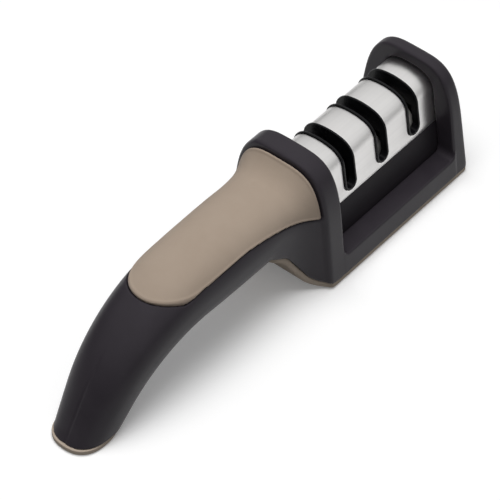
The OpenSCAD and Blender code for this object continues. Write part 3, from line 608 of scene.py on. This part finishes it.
def soften(obj, voxel, relax):
    """Remeshes a solid in fine cells and relaxes it, which rounds every edge a little."""
    step = obj.modifiers.new("cells", "REMESH")
    step.mode, step.voxel_size = "VOXEL", voxel
    step = obj.modifiers.new("relax", "SMOOTH")
    step.factor, step.iterations = RELAX_SHARE, relax
    return bake_modifiers(obj)


def bevel(obj, width, segments, angle):
    """A bevel on every edge that is sharper than an angle in degrees."""
    step = obj.modifiers.new("edge", "BEVEL")
    step.width, step.segments = width, segments
    step.limit_method, step.angle_limit = "ANGLE", radians(angle)
    return step


def dress(obj, body, finish_used, slot, *replaced, sharp=None):
    """Shrinks a finished solid to metres, puts it in place and gives it its finish and its body."""
    obj.data.transform(Matrix.Scale(MM, 4) @ Matrix.Translation((SHIFT, 0, 0)))
    if not obj.data.materials:
        obj.data.materials.append(finish_used)
    obj.data.shade_smooth()
    if sharp is not None:
        obj.data.set_sharp_from_angle(angle=radians(sharp))
    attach(obj, body)
    if replaced:
        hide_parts(*replaced)
    print(obj.name, len(obj.data.polygons), "faces")
    return obj


print("helpers for cuts, edges and finishes are ready")

# %% [markdown]
# ## The cover's outline
# The steel cover and the cartridge below it share one outline across the head: leaning sides, round
# shoulders and a slightly crowned top. Offsets of the same outline give the sheet's inner face, the
# raised lips in the slots and the opening in the moulding.

# %% Outline of the cover and of a slot
COVER_HALF, COVER_LOW, COVER_TOP, COVER_LEAN = 13.8, 25.4, 47.6, radians(8.5)
SHOULDER_R, CROWN_R, SHEET = 7.6, 24.0, 0.8
TAN_LEAN = tan(COVER_LEAN)
CROWN_Z = COVER_TOP - CROWN_R
CORNER_M = COVER_HALF - SHOULDER_R / cos(COVER_LEAN) - (CROWN_Z - COVER_LOW) * TAN_LEAN
CORNER_D = (CORNER_M * TAN_LEAN + sqrt((CORNER_M * TAN_LEAN) ** 2 - (1 + TAN_LEAN ** 2)
            * (CORNER_M ** 2 - (CROWN_R - SHOULDER_R) ** 2))) / (1 + TAN_LEAN ** 2)
CORNER_Y, CORNER_Z = CORNER_M - CORNER_D * TAN_LEAN, CROWN_Z + CORNER_D
CORNER_A = atan2(CORNER_D, CORNER_Y)
GROOVE, CART_FIT, FIT = 1.0, 0.2, 0.1
CART_START, CART_END = FRONT_T - GROOVE + CART_FIT, WINDOW_END + GROOVE - CART_FIT
FIRST_SLOT, SLOT_PITCH, SLOT_W, SLOT_LOW, SLOT_TOP, SLOT_REACH = 16.6, 19.35, 7.0, 27.7, 80.0, 40.0
STATIONS = [FRONT_T + FIRST_SLOT + i * SLOT_PITCH for i in range(3)]


def side_y(z, off):
    return COVER_HALF - (z - COVER_LOW) * TAN_LEAN + off / cos(COVER_LEAN)


def hump(low, off, shoulder_steps=28, crown_steps=20):
    """The cover's outline at an offset, from a lower height over the crown, as (y, z)."""
    half = [(side_y(low, off), low)]
    for i in range(shoulder_steps + 1):
        a = COVER_LEAN + (CORNER_A - COVER_LEAN) * i / shoulder_steps
        half.append((CORNER_Y + (SHOULDER_R + off) * cos(a), CORNER_Z + (SHOULDER_R + off) * sin(a)))
    for i in range(1, crown_steps + 1):
        a = CORNER_A + (pi / 2 - CORNER_A) * i / crown_steps
        half.append(((CROWN_R + off) * cos(a), CROWN_Z + (CROWN_R + off) * sin(a)))
    return half[:-1] + [(0.0, half[-1][1])] + [(-y, z) for y, z in reversed(half[:-1])]


def notch(x, width, low, steps=32):
    """A knife slot seen from the side: open above, round below."""
    r = width / 2
    arc = [(x + r * cos(a), low + r + r * sin(a))
           for a in np.linspace(pi, 2 * pi, steps + 1)]
    return arc + [(x + r, SLOT_TOP), (x - r, SLOT_TOP)]


print("slots at", [round(x + SHIFT, 2) for x in STATIONS], "mm")

# %% [markdown]
# ## The main moulding
# Handle, end walls and side rails are one moulding. The front loft runs from the foot to the front wall,
# the rear wall is a loft of its own, and the rails are long prisms. Then come the cuts: the arch under the
# neck, the seat of the foot, the opening for the cartridge, the recess of the grip and of the strip below.

# %% Lofts of the moulding
WIDE, WIDER, DEEP, FAR, CLEAR, RAIL_LAP = 60.0, 80.0, 50.0, 200.0, 5.0, 0.5
edge_rings = [wall_ring(-WALL_EDGE * (1 - t), round_in(WALL_EDGE, WALL_EDGE * t)) for t in np.linspace(0.1, 1, 8)]
inner_rings = [wall_ring(FRONT_T - WALL_INNER * t, round_in(WALL_INNER, WALL_INNER * t))
               for t in np.linspace(1, 0, 6)]
housing = loft("housing_moulding", handle_rings() + flare_rings() + edge_rings + inner_rings)
near = [rear_ring(WINDOW_END + WALL_INNER * t, 0.0, round_in(WALL_INNER, WALL_INNER * t))
        for t in np.linspace(0, 1, 6)]
far = [rear_ring(HEAD_LEN - WALL_EDGE * t, REAR_TILT, round_in(WALL_EDGE, WALL_EDGE * t))
       for t in np.linspace(1, 0, 8)]
rear_wall = loft("rear_wall", near + far)

TROUGH_TOP = RAIL_H + WALL_ROOT
rail_half = [(HALF_BASE, 0.0), (HALF_BASE - RAIL_LEAN * TROUGH_TOP, TROUGH_TOP)]
rails = end_prism("rails", rail_half + [(-y, z) for y, z in reversed(rail_half)],
                  FRONT_T - RAIL_LAP, WINDOW_END + RAIL_LAP)
corner = np.linspace(0, pi / 2, 14)
trough = [(FRONT_T + WALL_ROOT * (1 - cos(a)), RAIL_H + WALL_ROOT * (1 - sin(a))) for a in corner]
trough += [(WINDOW_END - WALL_ROOT * (1 - sin(a)), RAIL_H + WALL_ROOT * (1 - cos(a))) for a in corner]
trough += [(WINDOW_END, TROUGH_TOP + CLEAR), (FRONT_T, TROUGH_TOP + CLEAR)]
cut(rails, side_prism("trough", trough, WIDE))
for piece in (rear_wall, rails):
    combine(housing, piece, "UNION")
print("joined moulding:", len(housing.data.polygons), "faces")

# %% [markdown]
# The cuts need outlines of their own: the arch under the neck, the space of the grip and the line of the
# strip under the handle. Each is a function, because the pieces that fill those spaces use the same lines.

# %% Outlines of the cuts
ARCH_H, ARCH_LOW_R, ARCH_TOP_R, ARCH_SLOPE, ARCH_FRONT = 26.2, 16.0, 13.0, radians(60), 4.0
ARCH_RUN = ARCH_H - (ARCH_LOW_R + ARCH_TOP_R) * (1 - cos(ARCH_SLOPE))
ARCH_TOP_X = ARCH_FRONT - (ARCH_LOW_R + ARCH_TOP_R) * sin(ARCH_SLOPE) - ARCH_RUN / tan(ARCH_SLOPE)
PAD_REACH, PAD_INSET = 34.0, 0.6
GRIP_LEN, GRIP_END_W, GRIP_END_LEN, GRIP_BEND, GRIP_CURVE = 78.4, 14.3, 19.0, 42.0, 1.95
GRIP_EDGE_Z, GRIP_RISE, GRIP_FALL, GRIP_END_P, GRIP_CORNER = 36.2, 7.8, 0.6, 2.1, 1.8
GRIP_END_X = -WALL_EDGE - GRIP_LEN
ROOM_TOP, PLAN_LOW, GRIP_PLAN_TOP, GRIP_SPARE, SIDE_SPARE = 90.0, -10.0, 100.0, 14.0, 2.0
STRIP_HALF, STRIP_T, STRIP_RECESS, STRIP_GAP = 6.5, 2.4, 0.4, 0.3


def arch(off, steps=24):
    """Upper face of the pad at an offset: two arcs with a slope between them, as (x, z)."""
    low_r, top_r = ARCH_LOW_R - off, ARCH_TOP_R + off
    low_arc = [(ARCH_FRONT - low_r * sin(a), ARCH_LOW_R - low_r * cos(a))
               for a in np.linspace(0, ARCH_SLOPE, steps)]
    top_arc = [(ARCH_TOP_X + top_r * sin(a), ARCH_H - ARCH_TOP_R + top_r * cos(a))
               for a in np.linspace(ARCH_SLOPE, 0, steps)]
    return low_arc + top_arc


def handle_mid(x):
    if x > -STRAIGHT:
        return AXIS_Z
    return AXIS_Z - BEND_R + sqrt(max(0.0, BEND_R ** 2 - (x + STRAIGHT) ** 2))


def grip_edge(x):
    """Height of the grip's lower edge."""
    t = unit((x + GRIP_BEND) / (GRIP_BEND - WALL_EDGE)) ** GRIP_CURVE
    fall = GRIP_FALL * unit((-x - GRIP_LEN / 2) / (GRIP_LEN / 2))
    return (handle_mid(x) + GRIP_RISE - fall) * (1 - t) + GRIP_EDGE_Z * t


def grip_room(gap, corner_steps=8, edge_steps=60, end_steps=32):
    """The space of the grip: its side view cut by its plan view."""
    start = -WALL_EDGE + gap
    corner_in = [GRIP_CORNER * (i / corner_steps) ** 2 for i in range(corner_steps)]
    xs = [start - d for d in corner_in + list(np.linspace(GRIP_CORNER, GRIP_LEN, edge_steps))]
    shape = [(x, grip_edge(x) - gap + round_in(GRIP_CORNER, min(xs[0] - x, GRIP_CORNER))) for x in xs]
    shape += [(GRIP_END_X - CLEAR, grip_edge(GRIP_END_X) - gap), (GRIP_END_X - CLEAR, ROOM_TOP), (start, ROOM_TOP)]
    room = side_prism("grip_room", shape, WIDE)
    end_x, side = GRIP_END_X + GRIP_END_LEN, HALF_BASE + SIDE_SPARE
    half = [(CLEAR, side), (end_x, side)]
    half += [(end_x - (GRIP_END_LEN + gap) * sin(b) ** (2 / GRIP_END_P),
              (GRIP_END_W + gap) * cos(b) ** (2 / GRIP_END_P))
             for b in np.linspace(0, pi / 2 - 1e-6, end_steps)]
    plan = half + [(x, -y) for x, y in reversed(half[:-1])]
    return combine(room, plan_prism("grip_plan", plan, PLAN_LOW, GRIP_PLAN_TOP), "INTERSECT")


def grip_loft(off):
    """The handle under the grip, at an offset."""
    rings = [ring for ring in handle_rings(off) if ring[:, 0].max() > GRIP_END_X - GRIP_SPARE]
    last = flare_ring(-WALL_EDGE, off) + np.array([1.0, 0, 0])
    return loft("grip_loft", rings + flare_rings(off) + [last])


def strip_side(depth, steps=60):
    """A line along the underside of the handle at a depth, as (x, z)."""
    start = PAD_REACH - NECK_START + STRIP_GAP
    line = []
    for i in range(steps + 1):
        s = start + (TAIL_LEN - start) * i / steps
        x, z, slope = axis_at(s)
        r = handle_low(s) - depth
        line.append((x + sin(slope) * r, z - cos(slope) * r))
    return line


print("arch from", round(ARCH_TOP_X, 1), "to", ARCH_FRONT, "mm, grip to", round(GRIP_END_X, 1), "mm")

# %% Cuts in the moulding
GRIP_GAP, GRIP_SEAT, STRIP_FIT, STRIP_CUT = 0.45, 1.2, 0.2, 10.0
below_pad = side_prism("below_pad", [(HEAD_LEN + DEEP, -DEEP), (HEAD_LEN + DEEP, PAD_T)] + arch(PAD_T)
                       + [(-PAD_REACH - FIT, ARCH_H + PAD_T), (-PAD_REACH - FIT, -DEEP)], WIDER)
below_foot = side_prism("below_foot", box(-FAR, -DEEP, -STRAIGHT, FOOT_SEAM), WIDER)
base_room = plan_prism("base_room", box(ARCH_FRONT + 1, -HALF_BASE + SKIN_BASE, HEAD_LEN - SKIN_BASE,
                                        HALF_BASE - SKIN_BASE), -CLEAR, FLOOR_Z)
cartridge_room = end_prism("cartridge_room", hump(FLOOR_Z - 1, CART_FIT), FRONT_T - GROOVE, WINDOW_END + GROOVE)
strip_room = side_prism("strip_room", strip_side(STRIP_T + STRIP_RECESS) + strip_side(-STRIP_CUT)[::-1],
                        STRIP_HALF + STRIP_FIT)
grip_recess = cut(grip_room(GRIP_GAP), grip_loft(-GRIP_SEAT))
for tool in (below_pad, below_foot, base_room, cartridge_room, strip_room, grip_recess):
    cut(housing, tool)
print("cut moulding:", len(housing.data.polygons), "faces")

# %% [markdown]
# The remesh gives every edge a small radius. Two more details are moved straight into the vertices: the
# handle's end draws in a little above the foot, and a faint parting line runs down the back of the bend.

# %% Soft edges, drawn-in end and parting line
HOUSING_CELL, HOUSING_RELAX, END_ROUND = 0.42, 4, 0.4
PARTING_X, PARTING_REACH, PARTING_DEPTH, PARTING_HALF, PARTING_FADE = -99.0, 1.5, 0.3, 0.34, 4.0
soften(housing, HOUSING_CELL, HOUSING_RELAX)
points = np.empty(len(housing.data.vertices) * 3)
housing.data.vertices.foreach_get("co", points)
points = points.reshape(-1, 3)
above = points[:, 2] - FOOT_SEAM
at_end = (points[:, 0] < -STRAIGHT) & (above < END_ROUND)
depth = END_ROUND - np.sqrt(np.maximum(0, END_ROUND ** 2 - (END_ROUND - np.clip(above, 0, END_ROUND)) ** 2))
middle = np.stack([FOOT_X + np.clip(above, 0, None) / tan(DROP), np.zeros(len(points))], axis=1)
radial = points[:, :2] - middle
span = np.maximum(np.linalg.norm(radial, axis=1), 1e-6)
points[at_end, :2] -= (radial / span[:, None] * np.minimum(depth, span)[:, None])[at_end]
back = (points[:, 0] < PARTING_X) & (np.abs(points[:, 1]) < PARTING_REACH)
outer_side = back & ((points[:, 0] - BEND_X) * sin(DROP) - (points[:, 2] - BEND_Z) * cos(DROP) < 0)
fall = PARTING_DEPTH * np.exp(-(points[:, 1] / PARTING_HALF) ** 2)
fall = fall * np.clip((PARTING_X - points[:, 0]) / PARTING_FADE, 0, 1)
points[outer_side, 0] += (fall * sin(DROP))[outer_side]
points[outer_side, 2] -= (fall * cos(DROP))[outer_side]
housing.data.vertices.foreach_set("co", points.ravel())
dress(housing, "body", charcoal, "body", "housing")

# %% [markdown]
# ## Grip
# The grip is a soft skin over a harder core, let into the top of the handle and standing a hair proud of it.
# It is the same loft as the handle, a little larger, cut to the grip's outline and softened at its rim. A low bead
# follows the rim, as where a soft skin meets its mould, and catches a thin line of light.

# %% Soft grip
GRIP_PROUD, GRIP_CORE, GRIP_CELL, GRIP_RELAX = 0.25, 1.0, 0.32, 4
BEAD_H, BEAD_AT, BEAD_W = 0.2, 0.6, 0.35
grip = combine(grip_loft(GRIP_PROUD), grip_room(0.0), "INTERSECT")
grip.name = "grip_skin"
cut(grip, grip_loft(-GRIP_CORE))
soften(grip, GRIP_CELL, GRIP_RELAX)
outward = [vertex.normal.copy() for vertex in grip.data.vertices]
for vertex, normal in zip(grip.data.vertices, outward):
    x, y, z = vertex.co
    along = unit((GRIP_END_X + GRIP_END_LEN - x) / GRIP_END_LEN)
    across = abs(y) / GRIP_END_W
    round_end = (along ** GRIP_END_P + across ** GRIP_END_P) ** (1 / GRIP_END_P) if along > 0 else 0.0
    rim = min(z - grip_edge(x), -WALL_EDGE - x, (1 - round_end) * GRIP_END_W)
    vertex.co += normal * BEAD_H * exp(-((rim - BEAD_AT) / BEAD_W) ** 2)
dress(grip, "body", taupe, "soft", "grip_pad")

# %% [markdown]
# ## Foot and pad
# The handle's end stands on a soft foot, and the head on a soft pad that climbs the arch under the neck. Both
# are thin mouldings with rounded edges. The foot is a stack of rings, drawn in at its lower and its upper edge.

# %% Foot
FOOT_FLAT, FOOT_LOW_R, FOOT_TOP_R, FOOT_TOP_ROOM, FOOT_TOP_SINK = 1.4, 0.8, 0.45, 0.5, 0.05
FOOT_TOP_INSETS, EDGE_START = (2.2, 6.0), 0.3


def foot_ring(z, inset):
    turn = full_turn(RING)
    c, s = np.cos(turn), np.sin(turn)
    r = (np.abs(c) ** TOP_P + np.abs(s) ** TOP_P) ** (-1 / TOP_P)
    return np.stack([FOOT_X + (FOOT_A - inset) * r * c, (END_HALF_W - inset) * r * s, np.full(RING, z)], axis=1)


low_edge = [FOOT_LOW_R - FOOT_LOW_R * cos(a) for a in np.linspace(EDGE_START, pi / 2, 7)]
foot_edge = [(0.0, FOOT_FLAT), (0.0, FOOT_LOW_R)] + [(z, round_in(FOOT_LOW_R, z)) for z in low_edge]
foot_edge += [(FOOT_SEAM - FOOT_TOP_ROOM, 0.0)]
foot_edge += [(FOOT_SEAM - FOOT_TOP_ROOM + FOOT_TOP_R * sin(a), FOOT_TOP_R * (1 - cos(a)))
              for a in np.linspace(EDGE_START, pi / 2, 6)]
foot_edge += [(FOOT_SEAM - FOOT_TOP_SINK, inset) for inset in FOOT_TOP_INSETS]
foot = loft("foot_skin", [foot_ring(z, inset) for z, inset in foot_edge])
# The foot takes the taupe painted lighter, which is painted bounce light from the floor.
dress(foot, "body", taupe_painted_floor_light, "soft", "foot", sharp=40)

# %% [markdown]
# The pad is a side view pushed across the head and cut by a plan view. Under the neck its width follows the
# flare, so the plan asks the flare's outline how wide it is at the pad's height. Four pockets let the screws in.

# %% Pad
PAD_PLAN_TOP, PAD_STEPS, PAD_CELL, PAD_RELAX, PAD_CORNER, LOW_LIMIT = 60.0, 40, 0.45, 3, 0.3, 0.98
SCREW_IN, SCREW_Y, POCKET_R, POCKET_LOW = 14.0, 21.2, 2.3, -1.0
BASE_SCREWS = [(x, y) for x in (SCREW_IN, HEAD_LEN - SCREW_IN) for y in (-SCREW_Y, SCREW_Y)]


def arch_z(x):
    """Height of the pad's lower face over the ground."""
    line = arch(0.0)
    if x > line[0][0]:
        return 0.0
    return float(np.interp(-x, [-p[0] for p in line], [p[1] for p in line]))


def pad_half(x):
    """Half-width of the pad where it lies under the neck."""
    mid, low, p = flare_side(x)
    t = min(LOW_LIMIT, (mid - arch_z(x) - PAD_T / 2) / (mid - low))
    return (flare_half(x) + WALL_LEAN * flare_share(x) * (mid - arch_z(x))) * (1 - t ** p) ** (1 / p) - PAD_INSET


pad_side = [(HEAD_LEN, 0), (HEAD_LEN, PAD_T)] + arch(PAD_T) + [(-PAD_REACH, ARCH_H + PAD_T), (-PAD_REACH, ARCH_H)]
pad = side_prism("pad_skin", pad_side + arch(0.0)[::-1], WIDE)
pad_xs = [-WALL_EDGE - (PAD_REACH - WALL_EDGE) * i / PAD_STEPS for i in range(PAD_STEPS + 1)]
plan = [(HEAD_LEN, HALF_BASE - WALL_EDGE),
        (HEAD_LEN - WALL_EDGE * PAD_CORNER, HALF_BASE - WALL_EDGE * PAD_CORNER - PAD_INSET),
        (HEAD_LEN - WALL_EDGE, HALF_BASE - PAD_INSET), (0, HALF_BASE - PAD_INSET)]
plan += [(x, pad_half(x)) for x in pad_xs]
plan += [(x, -y) for x, y in reversed(plan)]
combine(pad, plan_prism("pad_plan", plan, PLAN_LOW, PAD_PLAN_TOP), "INTERSECT")
for at in BASE_SCREWS:
    cut(pad, plan_prism("pocket", disc(at, POCKET_R), POCKET_LOW, CLEAR))
soften(pad, PAD_CELL, PAD_RELAX)
# The pad takes the taupe painted lighter, which is painted bounce light from the floor.
dress(pad, "body", taupe_painted_floor_light, "soft", "base_pad")

# %% [markdown]
# ## Strip under the handle
# A narrow strip closes the hollow handle from below. It lies slightly below the surface, so a thin shadow
# line runs around it.

# %% Handle strip
HANDLE_SCREW_X, HEAD_R, HEAD_FIT, HEAD_H, STRIP_EDGE = -46.0, 2.0, 0.15, 1.6, 0.3
HANDLE_SEAT_Z = AXIS_Z - NECK_DEPTH + STRIP_RECESS + HEAD_H
strip = side_prism("handle_strip", strip_side(STRIP_T + STRIP_RECESS) + strip_side(STRIP_RECESS)[::-1], STRIP_HALF)
cut(strip, side_prism("below_strip", box(-FAR, -DEEP, -STRAIGHT, FOOT_T + FIT), WIDE))
pocket = plan_prism("strip_pocket", disc((HANDLE_SCREW_X, 0), HEAD_R + HEAD_FIT), 0, HANDLE_SEAT_Z)
cut(strip, pocket)
bevel(strip, STRIP_EDGE, 2, 40)
bake_modifiers(strip)
dress(strip, "body", charcoal, "body", "handle_cover", sharp=30)

# %% [markdown]
# ## Steel cover
# The cover is thin sheet, so it is an outer outline less an inner one, with the slots punched through. A narrow
# bevel rounds every cut edge, and the bevel gets a brighter steel: a painted highlight that shows the edges as a
# bright line.

# %% Steel cover
COVER_EDGE = 0.36
cover = end_prism("steel_shell", hump(COVER_LOW, 0.0), CART_START, CART_END)
cut(cover, end_prism("cover_inside", hump(COVER_LOW - 1, -SHEET), CART_START - 1, CART_END + 1))
for x in STATIONS:
    cut(cover, side_prism("slot", notch(x, SLOT_W, SLOT_LOW), SLOT_REACH))
for used in (brushed, painted_highlight_steel):
    cover.data.materials.append(used)
# The bevel faces take the brighter steel, a painted highlight along every cut edge.
bevel(cover, COVER_EDGE, 3, 50).material = 1
cover.modifiers.new("normals", "WEIGHTED_NORMAL").keep_sharp = True
bake_modifiers(cover)
dress(cover, "body", brushed, "steel", "steel_cover", sharp=35)

# %% [markdown]
# ## Slot liner
# Behind the steel sits a glossy moulding. Its lips line each slot and stand slightly above the steel, so that the
# blade never touches the sheet. The block comes first, with its slots, a chamber below each of them, seats for
# the axles and holes for the screws.

# %% Liner block
SKIN = SHEET + FIT
LIP_T, LINER_LOW, ROOF_Z, CHAMBER, LINER_WALL = 0.9, 20.0, 38.6, 5.8, 1.6
SEAT, POST, AXLE_Z, AXLE_R, AXLE_FIT = 9.0, 4.1, 26.0, 1.5, 0.05
LINER_SCREW_Y, LINER_HOLE_R, LINER_HOLE_TOP = 7.0, 1.15, 28.1
LIP_GAP = FIT + LIP_T
liner_start, liner_end = CART_START + SHEET + FIT, CART_END - SHEET - FIT


def inner_slot(x, reach):
    """The space between the lips of a slot."""
    return side_prism("slot", notch(x, SLOT_W - 2 * LIP_GAP, SLOT_LOW + LIP_GAP), reach)


block = end_prism("liner_block", hump(LINER_LOW, -SKIN), liner_start, liner_end)
for x in STATIONS:
    cut(block, inner_slot(x, SLOT_REACH))
    chamber = end_prism("chamber", hump(LINER_LOW - 1, -SKIN - LINER_WALL), x - CHAMBER, x + CHAMBER)
    combine(chamber, plan_prism("roof", box(0, -SLOT_REACH, HEAD_LEN, SLOT_REACH), 0, ROOF_Z), "INTERSECT")
    cut(block, chamber)
for x in STATIONS[1:]:
    cut(block, plan_prism("posts", box(x - SEAT, -POST, x + SEAT, POST), LINER_LOW - 1, AXLE_Z))
    cut(block, end_prism("seat", disc((0, AXLE_Z), AXLE_R + AXLE_FIT), x - SEAT, x + SEAT))
for x in (STATIONS[0] + SLOT_PITCH / 2, STATIONS[1] + SLOT_PITCH / 2):
    for y in (-LINER_SCREW_Y, LINER_SCREW_Y):
        hole = plan_prism("hole", disc((x, y), LINER_HOLE_R), LINER_LOW - 1, LINER_HOLE_TOP)
        cut(block, hole)
dress(block, "body", gloss_black, "liner", "slot_liner", sharp=30)

# %% [markdown]
# The lips are made apart from the block, because only they need round edges. A thick shell over the steel is
# cut down to three bands, one round each slot.

# %% Slot lips
LIP_PROUD, LIP_ROOT, LIP_BELOW, LIP_CORE_BELOW, LIP_CELL, LIP_RELAX = 0.6, 0.4, 2.0, 3.0, 0.16, 3
lips = end_prism("slot_lips", hump(SLOT_LOW - LIP_BELOW, LIP_PROUD), liner_start, liner_end)
lips_inside = hump(SLOT_LOW - LIP_CORE_BELOW, -SKIN - LIP_ROOT)
cut(lips, end_prism("lips_inside", lips_inside, liner_start - 1, liner_end + 1))
bands = None
for x in STATIONS:
    band = side_prism("band", notch(x, SLOT_W - 2 * FIT, SLOT_LOW + FIT), SLOT_REACH)
    cut(band, inner_slot(x, SLOT_REACH + 1))
    bands = band if bands is None else combine(bands, band, "UNION")
combine(lips, bands, "INTERSECT")
soften(lips, LIP_CELL, LIP_RELAX)
dress(lips, "body", gloss_black, "liner")

# %% [markdown]
# ## Rollers
# The medium and fine stages are pairs of coned wheels on an axle. The cones face each other, so that their faces
# make the groove that the edge is drawn through. Each wheel is a profile turned round its axle.

# %% Coned wheels
WHEEL_R, HUB_R, WHEEL_T, CONE_ANGLE, CONE_FIT, CONE_ROUND = 10.0, 4.0, 4.8, radians(20), 0.02, 0.28
WHEEL_OPEN = (WHEEL_R - HUB_R) * tan(CONE_ANGLE)


def turned(name, profile, at, way, steps=112):
    """A profile of (radius, distance) turned round an axis along x."""
    turn = full_turn(steps)
    rings = [np.stack([np.full(steps, at[0] + way * d), at[1] + r * np.cos(turn), at[2] + r * np.sin(turn)], axis=1)
             for r, d in profile]
    return make_object(name, np.concatenate(rings), band_faces(len(rings), steps, closed=True))


def corner_round(profile, radius, steps=4):
    """Rounds the corners of a closed profile."""
    made = []
    for i, p in enumerate(profile):
        p, a, b = np.array(p), np.array(profile[i - 1]), np.array(profile[(i + 1) % len(profile)])
        ua, ub = (a - p) / np.linalg.norm(a - p), (b - p) / np.linalg.norm(b - p)
        start, end = p + ua * radius, p + ub * radius
        for t in np.linspace(0, 1, steps):
            made.append(tuple((1 - t) ** 2 * start + 2 * t * (1 - t) * p + t * t * end))
    return made


cone = corner_round([(AXLE_R, CONE_FIT), (HUB_R, CONE_FIT), (WHEEL_R - CONE_FIT, WHEEL_OPEN),
                     (WHEEL_R - CONE_FIT, WHEEL_T), (AXLE_R, WHEEL_T)], CONE_ROUND)
for stage, index, grit in (("medium", 1, medium_grit), ("fine", 2, fine_grit)):
    for side, way in (("front", -1), ("rear", 1)):
        wheel = turned(f"{stage}_cone_{side}", cone, (STATIONS[index], 0.0, AXLE_Z), way)
        dress(wheel, f"{stage}_roller", grit, f"{stage}_grit", f"{stage}_wheel_{side}", sharp=50)

# %% [markdown]
# ## Screws
# Four screws hold the base plate and one holds the strip. Their heads lie in pockets and face down. A pan head is a
# turned dome, and the cross in it is one cut.

# %% Screw heads
CROSS_LONG, CROSS_HALF, CROSS_LOW, CROSS_TOP, WELD_REACH = 1.15, 0.24, 2.0, 0.75, 0.001
SHANK_R, TIP_R, TIP_LEN, DOME_TIP = 1.1, 0.2, 0.8, 1e-3
BASE_SCREW_LEN, HANDLE_SCREW_LEN = 7.0, 9.0
DOME = [(DOME_TIP, -1.6), (0.7, -1.58), (1.25, -1.48), (1.65, -1.25), (1.9, -0.9), (2.0, -0.45), (2.0, 0.0)]


def pan_screw(name, at, z, length):
    """A pan-head screw that stands on z with its head below it."""
    profile = DOME + [(SHANK_R, 0.0), (SHANK_R, length - TIP_LEN), (TIP_R, length)]
    made = loft(name, [np.array([(x, y, z + d) for x, y in disc(at, r)]) for r, d in profile])
    quarter = [(CROSS_LONG, CROSS_HALF), (CROSS_HALF, CROSS_HALF), (CROSS_HALF, CROSS_LONG)]
    left = [(-x, y) for x, y in reversed(quarter)]
    cross = [(at[0] + x, at[1] + y) for x, y in quarter + left + [(-x, -y) for x, y in quarter + left]]
    cut(made, plan_prism("cross", cross, z - CROSS_LOW, z - CROSS_TOP))
    made.modifiers.new("joined", "WELD").merge_threshold = WELD_REACH
    return bake_modifiers(made)


base_heads = pan_screw("base_screw_heads", BASE_SCREWS[0], PAD_T, BASE_SCREW_LEN)
for at in BASE_SCREWS[1:]:
    combine(base_heads, pan_screw("screw", at, PAD_T, BASE_SCREW_LEN), "UNION")
dress(base_heads, "body", zinc, "screw", "base_screws", sharp=35)
strip_head = pan_screw("strip_screw_head", (HANDLE_SCREW_X, 0.0), HANDLE_SEAT_Z, HANDLE_SCREW_LEN)
dress(strip_head, "body", zinc, "screw", "handle_screw", sharp=35)

# %% [markdown]
# ## Pieces that stay as the CAD made them
# The cartridge, the plate, the axles and the cutters have their right shape already. They only need a finish, and
# the cutters a small bevel, because their edges show in the slot.

# %% Finishes on the CAD pieces
KEPT = {"cartridge_base": cartridge_black, "base_plate": inner_black, "cartridge_screws": zinc,
        "liner_screws": zinc, "cutter_left": hard_metal, "cutter_right": hard_metal,
        "medium_axle": ground_steel, "fine_axle": ground_steel,
        "medium_washers": washer_white, "fine_washers": washer_white}
CUTTER_EDGE = 0.12
for name, used in KEPT.items():
    piece = nodes[name]
    piece.data.materials.clear()
    piece.data.materials.append(used)
for name in ("cutter_left", "cutter_right"):
    nodes[name].modifiers.new("joined", "WELD").merge_threshold = WELD_REACH * MM
    bevel(nodes[name], CUTTER_EDGE * MM, 2, 30)
print("kept CAD pieces:", len(KEPT))
